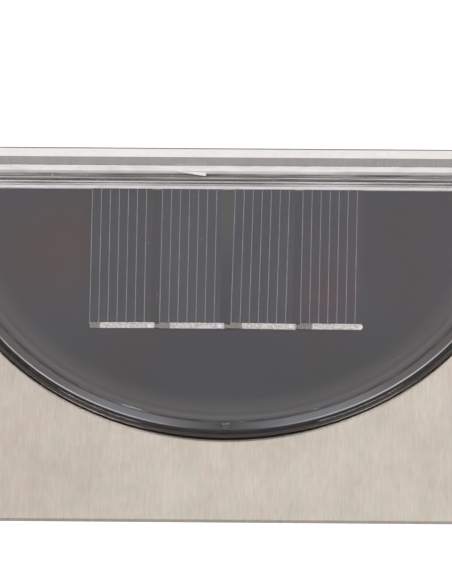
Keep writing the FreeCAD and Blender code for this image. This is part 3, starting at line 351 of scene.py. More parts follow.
# %% [markdown]
# ## Solar panel
# The cells are thin silicon, etched dark with acid, under a blue-black coating that makes them drink in
# light. The board under them wears black solder mask. Seen through the window, both look nearly black,
# with faint blue and brown clouds where the coating's thickness varies by a few nanometres. One spot on
# the fourth cell is wine-red.

# %% Solar cells
RED_SPOT = (19.5, -25)  # x and v


def near_spot(tree, spot, full_mm, far_mm):
    """1 within full_mm of a spot given as x and v, falling to 0 at far_mm."""
    reach = distance_from(tree, on_slope(*spot, 0))
    share = add_node(
        tree,
        "ShaderNodeMapRange",
        {"Value": reach, "From Min": far_mm * MM, "From Max": full_mm * MM},
        interpolation_type="SMOOTHSTEP",
    )
    return share.outputs["Result"]


def coated_silicon(name, colour, tint):
    finish, tree, shader = new_finish(name, colour, Roughness=0.3)
    clouds = spread(tree, (9, 14, 9), detail=2, tilt=SLOPE_ANGLE, seed=2)
    tone = shades(tree, clouds, (0.35, colour), (0.7, tint))
    stained = blended(tree, near_spot(tree, RED_SPOT, 2, 10), tone, linear("3E2732"))
    tree.links.new(stained, shader.inputs["Base Color"])
    return finish


CELL_TONES = (("2A2832", "322F34"), ("33323C", "3A3944"), ("2D2C36", "383742"), ("2C2932", "35313A"))
for number, (colour, tint) in enumerate(CELL_TONES, 1):
    dress(coated_silicon(f"coated_silicon_{number}", colour, tint), f"solar_cell_{number}")

# %% [markdown]
# The board's black is uneven too: darker down the slope, brownish at the left, greyer behind the cells
# and bluish in front of them. Towards the rim the window's moulding shows faint rings. They are painted
# light, drawn on the board as lighter grey rings, a pattern of the distance to the arc's centre.

# %% Panel board
DIM_FROM = -22  # distance up the slope from the light's origin, where the board starts to darken
DIM_TO = -50
DIM_SHARE = 0.85
BROWN_SPOT = (-34, -14)  # x and v
GREY_SPOT = (0, -4)
BLUE_SPOT = (0, -42)
RING_LIGHT_FROM = 49.5  # radius
RING_LIGHT_TO = 56.2

solder_mask, tree, shader = new_finish("black_solder_mask", "1E1D22", Roughness=0.32)
shader.inputs["Specular IOR Level"].default_value = 0.25
drift = spread(tree, (22, 26, 22), detail=2, tilt=SLOPE_ANGLE, seed=4)
warm = shades(tree, drift, (0.35, "393033"), (0.65, "38373E"))
place = add_node(tree, "ShaderNodeTexCoord")
up_slope = (0, math.cos(SLOPE_ANGLE), math.sin(SLOPE_ANGLE))
height = add_node(
    tree, "ShaderNodeVectorMath", {0: place.outputs["Object"], 1: up_slope}, operation="DOT_PRODUCT"
)
span = {"From Min": DIM_FROM * MM, "From Max": DIM_TO * MM, "To Max": DIM_SHARE}
dimmed = add_node(tree, "ShaderNodeMapRange", {"Value": height.outputs["Value"], **span})
tone = blended(tree, dimmed.outputs["Result"], warm, linear("131214"))
brown = blended(tree, near_spot(tree, BROWN_SPOT, 2, 16), tone, linear("44302F"))
grey = blended(tree, near_spot(tree, GREY_SPOT, 3, 18), brown, linear("4A4949"))
bluish = blended(tree, near_spot(tree, BLUE_SPOT, 6, 20), grey, linear("292935"))
# painted light: towards the rim the board is painted with lighter grey rings, for the window's moulding rings
radius = distance_from(tree, ARC_CENTRE)
ring_light_share = add_node(
    tree, "ShaderNodeMapRange", {"Value": radius, "From Min": RING_LIGHT_FROM * MM, "From Max": RING_LIGHT_TO * MM}
)
rings = add_node(
    tree,
    "ShaderNodeTexNoise",
    {"W": radius, "Scale": 900.0, "Detail": 2.0},
    noise_dimensions="1D",
)
painted_ring_light = shades(tree, rings.outputs["Fac"], (0.35, "4E4A49"), (0.65, "625F5E"))
tree.links.new(blended(tree, ring_light_share.outputs["Result"], bluish, painted_ring_light), shader.inputs["Base Color"])
dress(solder_mask, "panel_board")

# %% [markdown]
# ## Clear acrylic
# The window is injection-moulded acrylic: glass-clear, with an IOR of 1.49. Light has to pass it to reach
# the cells. Glass stops a lamp's straight rays in a path tracer, so for shadow rays alone the shader turns
# into a plain see-through one. The lamp's own window is the same plastic with a frosted, rougher skin.

# %% Clear and frosted plastics
def let_lamps_through(tree, shader, tint):
    """Mixes in a see-through shader for the rays that ask whether a lamp is hidden."""
    output = tree.nodes["Material Output"]
    path = add_node(tree, "ShaderNodeLightPath")
    open_way = add_node(tree, "ShaderNodeBsdfTransparent", {"Color": linear(tint)})
    mixed = add_node(
        tree,
        "ShaderNodeMixShader",
        {0: path.outputs["Is Shadow Ray"], 1: shader.outputs["BSDF"], 2: open_way.outputs["BSDF"]},
    )
    tree.links.new(mixed.outputs["Shader"], output.inputs["Surface"])


acrylic, tree, shader = new_finish("clear_moulded_acrylic", "F7F6F7", Roughness=0.01, IOR=1.49)
shader.inputs["Transmission Weight"].default_value = 1.0
ripple = spread(tree, (7, 7, 7), detail=1, tilt=SLOPE_ANGLE)
relief(tree, shader, ripple, 0.02, 0.4)
let_lamps_through(tree, shader, "E8E7E8")
dress(acrylic, "solar_lens")

frosted, tree, shader = new_finish("frosted_acrylic", "F2F2EE", Roughness=0.55, IOR=1.49)
shader.inputs["Transmission Weight"].default_value = 0.75
frost = spread(tree, (0.25, 0.25, 0.25), detail=2)
relief(tree, shader, frost, 0.02, 0.6)
let_lamps_through(tree, shader, "B0B0AC")
dress(frosted, "diffuser")

led_epoxy, tree, shader = new_finish("clear_led_epoxy", "F3F0D8", Roughness=0.06, IOR=1.52)
shader.inputs["Transmission Weight"].default_value = 0.55
cloud = spread(tree, (2, 2, 2), detail=1)
tree.links.new(shades(tree, cloud, (0.3, "F3F0D8"), (0.7, "EFE9B4")), shader.inputs["Base Color"])
dress(led_epoxy, "leds")

# %% [markdown]
# ## Inside the lamp
# The reflector is plastic with a vacuum-deposited skin of aluminium, the boards are green glass-fibre
# laminate with a faint weave, and the battery wears a plain green plastic sleeve that shrank onto it.

# %% Finishes inside the lamp
mirror_skin, tree, shader = new_finish("vacuum_metallised_plastic", "DADBDD", Metallic=1.0, Roughness=0.12)
haze = spread(tree, (4, 4, 4), detail=2)
tree.links.new(levels(tree, haze, 0.08, 0.2), shader.inputs["Roughness"])
dress(mirror_skin, "reflector")
laminate, tree, shader = new_finish("green_fibre_laminate", "1E5B38", Roughness=0.4)
weave = spread(tree, (0.6, 0.6, 0.6), detail=1)
tree.links.new(shades(tree, weave, (0.4, "1B5433"), (0.6, "236640")), shader.inputs["Base Color"])
relief(tree, shader, weave, 0.01, 0.4)
dress(laminate, "led_board", "control_board")
sleeve, tree, shader = new_finish("shrink_sleeve_green", "3C8A5A", Roughness=0.25)
wrinkle = spread(tree, (3, 1.2, 1.2), detail=2)
tree.links.new(shades(tree, wrinkle, (0.4, "378253"), (0.6, "429362")), shader.inputs["Base Color"])
relief(tree, shader, wrinkle, 0.03, 0.4)
dress(sleeve, "battery")
wire_jacket, tree, shader = new_finish("red_wire_jacket", "9E2A22", Roughness=0.45)
scuff = spread(tree, (1, 1, 4), detail=2)
tree.links.new(shades(tree, scuff, (0.4, "962720"), (0.7, "A8332A")), shader.inputs["Base Color"])
dress(wire_jacket, "panel_leads")

# %% [markdown]
# ## Modelling helpers
# New pieces start from one of Blender's primitives and are shaped in edit mode. Every operator works on
# the selection, so each piece begins with nothing selected. A piece is set into the slope's frame and its
# transform is applied, which puts its place into its mesh. It then gets its finish, and rides on the part
# of the light that it moves with.

# %% Modelling helpers
def start_piece(name, primitive, **size):
    bpy.ops.object.select_all(action="DESELECT")
    primitive(**size)
    piece = bpy.context.object
    piece.name = name
    return piece


def editing(on):
    """Opens the piece for editing with all of it selected, or closes it again."""
    bpy.ops.object.mode_set(mode="EDIT" if on else "OBJECT")
    if on:
        bpy.ops.mesh.select_all(action="SELECT")


def only(piece):
    bpy.ops.object.select_all(action="DESELECT")
    piece.select_set(True)
    bpy.context.view_layer.objects.active = piece


def set_down(piece, place=(0, 0, 0), turn=0.0):
    """Lays a piece into the slope's frame at x, v and n in mm, turned about n by some degrees."""
    only(piece)
    spot = Matrix.Translation(Vector(place) * MM) @ Matrix.Rotation(math.radians(turn), 4, "Z")
    piece.matrix_world = SLOPE @ spot @ piece.matrix_world
    bpy.ops.object.transform_apply(location=True, rotation=True, scale=True)


def finish_piece(piece, finish, body="lamp", smooth=40):
    only(piece)
    bpy.ops.object.shade_smooth_by_angle(angle=math.radians(smooth))
    piece.data.materials.clear()
    piece.data.materials.append(finish)
    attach(piece, body)
    print(piece.name, "has", len(piece.data.polygons), "faces")


def apply_all(piece):
    only(piece)
    for modifier in list(piece.modifiers):
        bpy.ops.object.modifier_apply(modifier=modifier.name)


print("modelling helpers ready")

# %% [markdown]
# ## Printed lines on the cells
# Silver paste is printed on each cell through a screen, as seven thin fingers that gather the current.
# One finger is a plane, scaled to a strip and extruded to the paste's height. It is duplicated six times
# at the fingers' pitch, and the finished comb is copied to the other three cells.

# %% Fingers
FINGERS = 7
FINGER_PITCH = 1.822
FINGER_WIDTH = 0.085
FINGER_HEIGHT = 0.02
FINGER_FIRST = -5.94  # x of the first finger from the cell's middle
FINGER_BACK = -0.1  # v of the fingers' ends
FINGER_FRONT = -32.7
CELLS = 4
CELL_PITCH = 14.1
ARRAY_SHIFT = -0.42
CELL_SHIFTS = (-0.13, -0.06, 0.52, 0.11)  # the cells were laid by hand, so none is quite in its place
CELL_TURNS = (0.27, 0.01, -0.66, -0.23)  # degrees


def cell_middle(number):
    """x of a cell's middle, in mm."""
    return ARRAY_SHIFT + CELL_PITCH * (number - (CELLS - 1) / 2) + CELL_SHIFTS[number]


silver_paste, tree, shader = new_finish("printed_silver_paste", "B4B2B2", Metallic=0.3, Roughness=0.5)
speckle = spread(tree, (0.4, 1.6, 0.4), detail=2, tilt=SLOPE_ANGLE)
tree.links.new(shades(tree, speckle, (0.3, "9C9A9B"), (0.7, "C6C5C5")), shader.inputs["Base Color"])

comb = start_piece("finger_lines_1", bpy.ops.mesh.primitive_plane_add, size=MM)
editing(True)
bpy.ops.transform.resize(value=(FINGER_WIDTH, FINGER_BACK - FINGER_FRONT, 1))
middle = (FINGER_BACK + FINGER_FRONT) / 2
bpy.ops.transform.translate(value=(FINGER_FIRST * MM, middle * MM, CELL_TOP * MM))
bpy.ops.mesh.extrude_region_move(TRANSFORM_OT_translate={"value": (0, 0, FINGER_HEIGHT * MM)})
bpy.ops.mesh.select_all(action="SELECT")
bpy.ops.mesh.normals_make_consistent(inside=False)
for step in range(FINGERS - 1):
    bpy.ops.mesh.duplicate_move(TRANSFORM_OT_translate={"value": (FINGER_PITCH * MM, 0, 0)})
editing(False)

combs = [comb]
for number in range(2, CELLS + 1):
    twin = comb.copy()
    twin.data = comb.data.copy()
    twin.name = f"finger_lines_{number}"
    bpy.context.scene.collection.objects.link(twin)
    combs.append(twin)
for number, piece in enumerate(combs):
    set_down(piece, (cell_middle(number), 0, 0), CELL_TURNS[number])
    finish_piece(piece, silver_paste)

# %% [markdown]
# ## Ribbons
# A tinned copper ribbon is soldered along the front edge of each cell and on to the next. Solder freezes
# with a slight belly and a ragged rim. The engineering model's plain strips are copied, cut into short
# lengths by bisecting, swollen by a fifth to take in the solder, and moved by a cloudy pattern.

# %% Ribbons
def copy_of(node, name):
    """A loose copy of one of the engineering model's pieces, with its doubled points merged."""
    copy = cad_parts[node].copy()
    copy.data = copy.data.copy()
    for key in list(copy.keys()):
        del copy[key]
    copy.parent = None
    copy.name = name
    bpy.context.scene.collection.objects.link(copy)
    only(copy)
    editing(True)
    bpy.ops.mesh.remove_doubles(threshold=0.001 * MM)
    editing(False)
    bpy.ops.mesh.customdata_custom_splitnormals_clear()
    return copy


def slice_across(piece, start, stop, step):
    """Cuts a piece at even places along x, in mm, so that it can bend between them."""
    only(piece)
    editing(True)
    count = int((stop - start) / step)
    for number in range(1, count):
        bpy.ops.mesh.select_all(action="SELECT")
        place = ((start + number * step) * MM, 0, 0)
        bpy.ops.mesh.bisect(plane_co=place, plane_no=(1, 0, 0))
    editing(False)


def wander(piece, name, size_mm, strength_mm, direction):
    """Moves a piece's points by a cloudy pattern of that size."""
    clouds = bpy.data.textures.new(name, "CLOUDS")
    clouds.noise_scale = size_mm * MM
    clouds.noise_depth = 1
    move = piece.modifiers.new(name, "DISPLACE")
    move.texture = clouds
    move.texture_coords = "GLOBAL"
    move.strength = strength_mm * MM
    move.mid_level = 0.5
    move.direction = direction
    apply_all(piece)


def tinned_metal(name, dark, pale, size_mm):
    finish, tree, shader = new_finish(name, pale, Metallic=0.45, Roughness=0.4)
    crinkle = spread(tree, (size_mm, size_mm * 0.7, size_mm * 0.7), detail=3, tilt=SLOPE_ANGLE)
    tree.links.new(shades(tree, crinkle, (0.36, dark), (0.56, pale)), shader.inputs["Base Color"])
    relief(tree, shader, crinkle, 0.05, 0.8)
    return finish


SLICE = 0.5
RIBBON_SPAN = (-27.4, 27.1)  # x of the row's two ends
SWELLING = 1.22
SWELLING_V = -33.6  # v of the line from which the strips grow

tinned = tinned_metal("tinned_copper_ribbon", "B8B3AC", "F6F3EF", 0.35)
fluxed = tinned_metal("fluxed_ribbon_end", "4A443F", "A9A39B", 0.3)
bright_solder = tinned_metal("bright_solder", "F4F3F1", "FFFFFF", 0.6)

ribbons = copy_of("cell_ribbons", "soldered_ribbons")
slice_across(ribbons, *RIBBON_SPAN, SLICE)
only(ribbons)
bpy.ops.transform.resize(
    value=(1, SWELLING, SWELLING), center_override=on_slope(0, SWELLING_V, RIBBON_TOP)
)
bpy.ops.object.transform_apply(location=True, rotation=False, scale=True)
wander(ribbons, "solder_flow", 1.6, 0.16, "Y")
finish_piece(ribbons, tinned)
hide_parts("cell_ribbons")

# %% [markdown]
# The first two millimetres of each ribbon were fluxed and touched by the iron, which leaves them dull and
# crinkled. A short dull link crosses each gap to the next cell, and a bright drop of solder sits at each
# ribbon's right end. The links are boxes and the drops are spheres, pressed flat.

# %% Ribbon ends, links and drops
RIBBON_V = -33.2  # middle of the ribbon's width
RIBBON_SHIFT = 0.25  # its middle lies right of the cell's
RIBBON_HALF = 6.15
DULL_LENGTH = 2.2
LINK_SIZE = (0.85, 0.09)  # width and thickness
LINK_OVERLAP = 0.3
DROP_RADII = (0.5, 0.5, 0.14)
DROP_INSET = 0.3  # from the ribbon's end


def ribbon_ends(number):
    """x of a ribbon's left and right end, in mm."""
    leaned = -RIBBON_V * math.sin(math.radians(CELL_TURNS[number]))
    middle = cell_middle(number) + leaned + RIBBON_SHIFT
    return middle - RIBBON_HALF, middle + RIBBON_HALF


ribbons.data.materials.append(fluxed)
for face in ribbons.data.polygons:
    for number in range(CELLS):
        start = ribbon_ends(number)[0]
        if start - SLICE < face.center.x / MM < start + DULL_LENGTH:
            face.material_index = 1

for number in range(CELLS - 1):
    left = ribbon_ends(number)[1]
    right = ribbon_ends(number + 1)[0]
    link = start_piece(f"ribbon_link_{number + 1}", bpy.ops.mesh.primitive_cube_add, size=MM)
    editing(True)
    bpy.ops.transform.resize(value=(right - left + LINK_OVERLAP, *LINK_SIZE))
    bpy.ops.mesh.subdivide(number_cuts=3)
    bpy.ops.mesh.bevel(offset=0.02 * MM, segments=1)
    editing(False)
    set_down(link, ((left + right) / 2, RIBBON_V, RIBBON_TOP - 0.06))
    finish_piece(link, fluxed)

for number in range(CELLS):
    name = f"solder_drop_{number + 1}"
    drop = start_piece(
        name, bpy.ops.mesh.primitive_uv_sphere_add, segments=20, ring_count=10, radius=MM
    )
    editing(True)
    bpy.ops.transform.resize(value=DROP_RADII)
    editing(False)
    set_down(drop, (ribbon_ends(number)[1] - DROP_INSET, RIBBON_V, RIBBON_TOP + 0.02), 8 * number)
    finish_piece(drop, bright_solder)

# %% [markdown]
# ## Bead of silicone
# White silicone is run by hand into the corner between the hood, the window's rim and the back plate. A
# hand-run bead is never straight: its edge wanders by about a tenth of a millimetre. A finger smoothed it,
# which drew its foot back from the rim's crest, so the points there are moved up the slope.

# %% Silicone bead
FOOT_BELOW = 3.1  # v: the bead's foot lies nearer to the window than this,
FOOT_ABOVE = 1.0  # and higher than this n
FOOT_DRAWN_BACK = 0.38
BEAD_HALF = 68.5
BEAD_SLICE = 0.6

silicone, tree, shader = new_finish("white_silicone", "F6F5F1", Roughness=0.38)
shader.inputs["Subsurface Weight"].default_value = 0.1
shader.inputs["Subsurface Scale"].default_value = 0.8 * MM
dirt = spread(tree, (5, 1.2, 1.2), detail=3)
tree.links.new(shades(tree, dirt, (0.3, "EBE9E4"), (0.55, "F9F8F5")), shader.inputs["Base Color"])
skin = spread(tree, (2.5, 0.8, 0.8), detail=2, seed=2)
relief(tree, shader, skin, 0.05, 0.5)

bead = copy_of("sealant_bead", "silicone_bead")
slice_across(bead, -BEAD_HALF, BEAD_HALF, BEAD_SLICE)
wander(bead, "hand_run", 2.2, 0.13, "Z")
to_slope = SLOPE.inverted()
for vertex in bead.data.vertices:
    place = to_slope @ vertex.co / MM
    if place.y < FOOT_BELOW and place.z > FOOT_ABOVE:
        vertex.co += slope_shift(FOOT_DRAWN_BACK, 0)
finish_piece(bead, silicone, smooth=50)
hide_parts("sealant_bead")

# %% [markdown]
# ## What holds the window down
# Black foam glued to the rim's underside leaves no air between them, so no light is thrown back there and
# the clear rim looks black. The foam ring is a copy of the model's, with its top face moved a twentieth of
# a millimetre into the plastic. Bonded layers have no gloss of their own between them. A band just inside
# the outer edge is painted a paler brown, as a painted reflection in the rim.

# %% Foam ring bonded to the rim
BOND = 0.05
FOAM_MIDDLE = 0.2  # n: what lies higher is the ring's top face
BAND_SPAN = (58.5, 60.1)  # radii over which the band's four edges are given, as shares
BAND_EDGES = (0.3, 0.44, 0.76, 0.86)

bonded_foam, tree, shader = new_finish("bonded_black_foam", "1A1817", Roughness=0.6)
shader.inputs["Specular IOR Level"].default_value = 0.0
mottle = spread(tree, (3, 1.2, 1.2), detail=3, tilt=SLOPE_ANGLE)
glued = shades(tree, mottle, (0.35, "19181C"), (0.7, "2C2827"))
outwards = add_node(
    tree,
    "ShaderNodeMapRange",
    {
        "Value": distance_from(tree, ARC_CENTRE),
        "From Min": BAND_SPAN[0] * MM,
        "From Max": BAND_SPAN[1] * MM,
    },
)
# painted reflection: a paler brown band just inside the ring's outer edge
band = zip(BAND_EDGES, ("000000", "FFFFFF", "FFFFFF", "000000"))
painted_reflection_band = shades(tree, outwards.outputs["Result"], *band)
tree.links.new(blended(tree, painted_reflection_band, glued, linear("4A423E")), shader.inputs["Base Color"])

foam_ring = copy_of("lens_gasket", "foam_ring")
for vertex in foam_ring.data.vertices:
    if (to_slope @ vertex.co).z > FOAM_MIDDLE * MM:
        vertex.co += slope_shift(0, BOND)
finish_piece(foam_ring, bonded_foam)
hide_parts("lens_gasket")

# %% [markdown]
# The plug that centres the window doesn't fill the hood's opening. Grey sealant fills that gap, and from
# above it makes the dished slope inside the crest look lighter than the crest. The sealant's grey is
# painted lighter to the left and right of the middle: a painted reflection of the softboxes. At its outer
# edge the sealant ends in a thin, raised lip, whose colour is a painted highlight to the left and right.
# Each ring starts as a circle whose edge is extruded inwards, is cut off behind the window's middle and
# gets its thickness by extruding.

# %% Grey sealant ring with painted reflections, and its lip with a painted highlight
RING_FOOT = 0.37  # n of the sealant's underside
RING_REAR = 1.0  # v where the rings are cut off
LENS_RADIUS = 60
SEALANT_INNER = 56.72  # radii of the sealant and of the lip round it
SEALANT_OUTER = 58.3
LIP_OUTER = 58.46


def half_ring(name, r_outer, r_inner, n_to):
    ring = start_piece(name, bpy.ops.mesh.primitive_circle_add, vertices=240, radius=r_outer * MM)
    editing(True)
    bpy.ops.mesh.select_mode(type="EDGE")
    bpy.ops.mesh.select_all(action="SELECT")
    bpy.ops.mesh.extrude_edges_move()
    bpy.ops.transform.resize(value=(r_inner / r_outer, r_inner / r_outer, 1))
    bpy.ops.mesh.select_all(action="SELECT")
    bpy.ops.mesh.bisect(plane_co=(0, RING_REAR * MM, 0), plane_no=(0, 1, 0), clear_outer=True)
    bpy.ops.mesh.select_all(action="SELECT")
    bpy.ops.transform.translate(value=(0, 0, RING_FOOT * MM))
    bpy.ops.mesh.select_mode(type="FACE")
    bpy.ops.mesh.select_all(action="SELECT")
    bpy.ops.mesh.extrude_region_move(TRANSFORM_OT_translate={"value": (0, 0, (n_to - RING_FOOT) * MM)})
    bpy.ops.mesh.select_all(action="SELECT")
    bpy.ops.mesh.normals_make_consistent(inside=False)
    editing(False)
    set_down(ring)
    return ring


def by_side(tree, *stops):
    """Colours from the light's middle to its left and right sides: pairs of mm and an sRGB hex colour."""
    place = add_node(tree, "ShaderNodeTexCoord")
    axes = add_node(tree, "ShaderNodeSeparateXYZ", {0: place.outputs["Object"]})
    away = add_node(tree, "ShaderNodeMath", {0: axes.outputs["X"]}, operation="ABSOLUTE")
    share = add_node(
        tree, "ShaderNodeMath", {0: away.outputs["Value"], 1: LENS_RADIUS * MM}, operation="DIVIDE"
    )
    return shades(tree, share.outputs["Value"], *[(far / LENS_RADIUS, colour) for far, colour in stops])


grey_sealant, tree, shader = new_finish("grey_sealant", "6A686C", Roughness=0.6)
shader.inputs["Specular IOR Level"].default_value = 0.0
lumps = spread(tree, (7, 5, 5), detail=3, tilt=SLOPE_ANGLE, seed=14)
# painted reflection: the grey is lighter from 5 to 33 mm left and right of the middle
sides = by_side(
    tree, (1, "3A393E"), (5, "5C5B60"), (13, "85868C"), (24, "8A8B90"), (33, "706A68"), (46, "675D58")
)
tone = blended(tree, 0.15, sides, shades(tree, lumps, (0.3, "5E5755"), (0.7, "7F8088")))
tree.links.new(tone, shader.inputs["Base Color"])
sealant_ring = half_ring("grey_sealant_ring", SEALANT_OUTER, SEALANT_INNER, 0.46)
finish_piece(sealant_ring, grey_sealant)

# painted highlight: the lip is dark in the middle and near white to the left and right
lip_sealant, tree, shader = new_finish("sealant_lip_painted_highlight", "C8C8CC", Roughness=0.4)
shader.inputs["Specular IOR Level"].default_value = 0.0
painted_highlight_tones = by_side(tree, (5, "46464A"), (12, "9A9BA0"), (20, "C6C7CC"), (34, "DAD8D8"))
tree.links.new(painted_highlight_tones, shader.inputs["Base Color"])
sealant_lip = half_ring("sealant_lip", LIP_OUTER, SEALANT_OUTER, 0.48)
finish_piece(sealant_lip, lip_sealant)

# %% [markdown]
# Silicone has crept under the rim's straight side, and is seen through the clear plastic as streaks that
# run the whole width. A pale line beside it, and a white line with a pale tail along the board's rear edge,
# are painted highlights of the window's rear edges, drawn as pale and white silicone. Each is a long thin
# box, cut into short lengths like the ribbons, and its finish is streaked along the strip, with white
# crumbs in it.

# %% Crept silicone and painted highlights along the rim's rear
STRIP_SLICE = 0.8


def long_strip(name, half_length, v_from, v_to, n_from, n_to, finish):
    strip = start_piece(name, bpy.ops.mesh.primitive_cube_add, size=MM)
    editing(True)
    bpy.ops.transform.resize(value=(half_length * 2, v_to - v_from, n_to - n_from))
    bpy.ops.transform.translate(value=(0, (v_from + v_to) / 2 * MM, (n_from + n_to) / 2 * MM))
    editing(False)
    slice_across(strip, -half_length, half_length, STRIP_SLICE)
    set_down(strip)
    finish_piece(strip, finish)


def smeared_silicone(name, dark, middle, pale, seed):
    finish, tree, shader = new_finish(name, middle, Roughness=0.6)
    shader.inputs["Specular IOR Level"].default_value = 0.0
    smear = spread(tree, (14, 0.3, 0.3), detail=3, tilt=SLOPE_ANGLE, seed=seed)
    crumbs = spread(tree, (0.5, 0.3, 0.3), detail=2, tilt=SLOPE_ANGLE, seed=seed + 3)
    streaky = shades(tree, smear, (0.36, dark), (0.5, middle), (0.64, pale))
    crumbed = shades(tree, crumbs, (0.68, "000000"), (0.74, "FFFFFF"))
    tree.links.new(blended(tree, crumbed, streaky, linear("F0EFEC")), shader.inputs["Base Color"])
    return finish


smeared = smeared_silicone("thinly_smeared_silicone", "56524D", "888582", "AFADAA", 6)
# painted highlight: this pale smear stands for bright edges of the clear rim
painted_highlight_smear = smeared_silicone("silicone_painted_highlight", "ACAAA7", "D6D4D1", "F2F0EE", 17)

long_strip("crept_silicone", 59.0, 2.18, 2.86, 0.37, 0.47, smeared)
# painted highlight of the crest's rear edge
long_strip("crest_highlight_strip", 58.6, 1.9, 2.1, 0.38, 0.48, painted_highlight_smear)
long_strip("crept_silicone_gap", 57.0, 1.62, 1.88, 0.36, 0.44, smeared)
# painted highlight of the window's rear edge, with its pale tail below
long_strip("board_rear_highlight_strip", 54.0, -0.02, 0.6, -0.79, -0.47, silicone)
long_strip("board_highlight_tail", 54.0, 0.68, 1.22, -0.79, -0.69, painted_highlight_smear)

# %% [markdown]
# A thin strip of grey foam is stuck along the back of the hook, where the steel would scrape the fence.
# From above only its edge shows, as a dark line behind the bright steel.

# %% Foam strip behind the hook
PAD_SIZE = (139.0, 0.46, 2.4)
PAD_PLACE = (0, -0.28, 26.56)  # x, y and z of its middle
PAD_SLICE = 1.2

grey_foam, tree, shader = new_finish("grey_foam_strip", "74726C", Roughness=0.85)
pores = spread(tree, (0.5, 0.3, 0.3), detail=2)
tree.links.new(shades(tree, pores, (0.35, "605E58"), (0.65, "82807A")), shader.inputs["Base Color"])
relief(tree, shader, pores, 0.05, 0.8)

pad = start_piece("hook_foam_strip", bpy.ops.mesh.primitive_cube_add, size=MM)
editing(True)
bpy.ops.transform.resize(value=PAD_SIZE)
bpy.ops.transform.translate(value=Vector(PAD_PLACE) * MM)
bpy.ops.mesh.bevel(offset=0.08 * MM, segments=2)
editing(False)
slice_across(pad, -PAD_SIZE[0] / 2, PAD_SIZE[0] / 2, PAD_SLICE)
wander(pad, "cut_edge", 4.0, 0.05, "Z")
finish_piece(pad, grey_foam)

# %% [markdown]
# ## A flake of loose silicone
# Where the nozzle lifted off, a thin flake was left on the rim. It is a small grid that is narrowed towards
# one end and lifted towards the other, and Solidify gives it its thickness.

# %% Flake
FLAKE_SIZE = (6.4, 0.72, 0.12)
FLAKE_TIP = 0.25  # the narrow end's width, as a share
FLAKE_LIFT = 0.25
FLAKE_PLACE = (-7.9, 2.6, 1.74)  # x, v and n
FLAKE_TURN = -9  # degrees

flake = start_piece(
    "silicone_flake", bpy.ops.mesh.primitive_grid_add, x_subdivisions=12, y_subdivisions=3, size=MM
)
editing(True)
bpy.ops.transform.resize(value=(FLAKE_SIZE[0], FLAKE_SIZE[1], 1))
editing(False)
for vertex in flake.data.vertices:
    share = vertex.co.x / (FLAKE_SIZE[0] * MM) + 0.5
    vertex.co.y *= FLAKE_TIP + (1 - FLAKE_TIP) * min(1, share * 1.15)
    vertex.co.z += FLAKE_LIFT * MM * share * share
thick = flake.modifiers.new("skin", "SOLIDIFY")
thick.thickness = FLAKE_SIZE[2] * MM
apply_all(flake)
set_down(flake, FLAKE_PLACE, FLAKE_TURN)
finish_piece(flake, silicone)

# %% [markdown]
# ## Gate mark
# The acrylic entered the mould at the middle of the front rim, and the cut sprue left a low round mark
# there. It is a short cylinder with a bevelled edge, leaned over to lie on the dished slope of the rim.

# %% Gate mark
GATE_RADIUS = 0.95
GATE_HEIGHT = 0.16
GATE_LEAN = math.radians(-14)
GATE_PLACE = (0.34, -57.7, 1.36)  # x, v and n

gate = start_piece(
    "gate_mark",
    bpy.ops.mesh.primitive_cylinder_add,
    vertices=48,
    radius=GATE_RADIUS * MM,
    depth=GATE_HEIGHT * MM,
)
editing(True)
bpy.ops.mesh.bevel(offset=0.04 * MM, segments=2)
editing(False)
only(gate)
bpy.ops.transform.rotate(value=GATE_LEAN, orient_axis="X", center_override=(0, 0, 0))
set_down(gate, GATE_PLACE)
finish_piece(gate, acrylic)

# %% [markdown]
# ## Dust
# A few crumbs of dust lie on the window and beside it, as on any light that was in the open. Each is a tiny
# icosphere that is pressed flat and turned by chance, with a fixed seed, so that it falls the same way in
# every run.

# %% Dust
DUST = (  # x, v, n of the surface below and radius
    (3.5, -56.5, WINDOW_FACE + 0.02, 0.13),
    (7.0, -60.5, 0.5, 0.12),
    (-16.0, -14.0, WINDOW_FACE + 0.01, 0.09),
    (-14.0, -26.5, WINDOW_FACE + 0.01, 0.11),
    (-7.5, -9.5, WINDOW_FACE + 0.01, 0.1),
    (-5.5, -13.0, WINDOW_FACE + 0.01, 0.08),
    (34.5, -41.0, WINDOW_FACE + 0.01, 0.1),
    (37.0, -53.5, 0.03, 0.1),
    (-7.0, -2.5, WINDOW_FACE + 0.01, 0.09),
    (3.0, -37.5, WINDOW_FACE + 0.01, 0.06),
    (21.0, -8.0, WINDOW_FACE + 0.01, 0.07),
    (-30.0, -20.5, WINDOW_FACE + 0.01, 0.07),
)
dust_grey, tree, shader = new_finish("pale_dust", "C9C7C2", Roughness=0.9)
grit = spread(tree, (0.08, 0.08, 0.08), detail=1)
tree.links.new(shades(tree, grit, (0.3, "B2B0AB"), (0.7, "DDDBD6")), shader.inputs["Base Color"])
turns = random.Random(4)
for number, (x, v, n, size) in enumerate(DUST, 1):
    crumb = start_piece(
        f"dust_crumb_{number}", bpy.ops.mesh.primitive_ico_sphere_add, subdivisions=2, radius=size * MM
    )
    editing(True)
    bpy.ops.transform.resize(value=(turns.uniform(0.5, 0.8), turns.uniform(0.8, 1.3), 0.5))
    editing(False)
    set_down(crumb, (x, v, n + size * 0.3), turns.uniform(0, 180))
    finish_piece(crumb, dust_grey)

# %% [markdown]
# ## Floor
# The light hangs over a plain pale floor. For camera rays, and for reflections in the metal, the floor
# glows a little, so that it looks white without more light on the object. From below it is see-through,
# so that the lamp can be looked at from there too.

# %% Floor
FLOOR_LEVEL = -250.0
FLOOR_SIZE = (14, 12)  # metres
FLOOR_SHIFT = 5.6  # metres towards the back
FLOOR_GLOW = 0.45

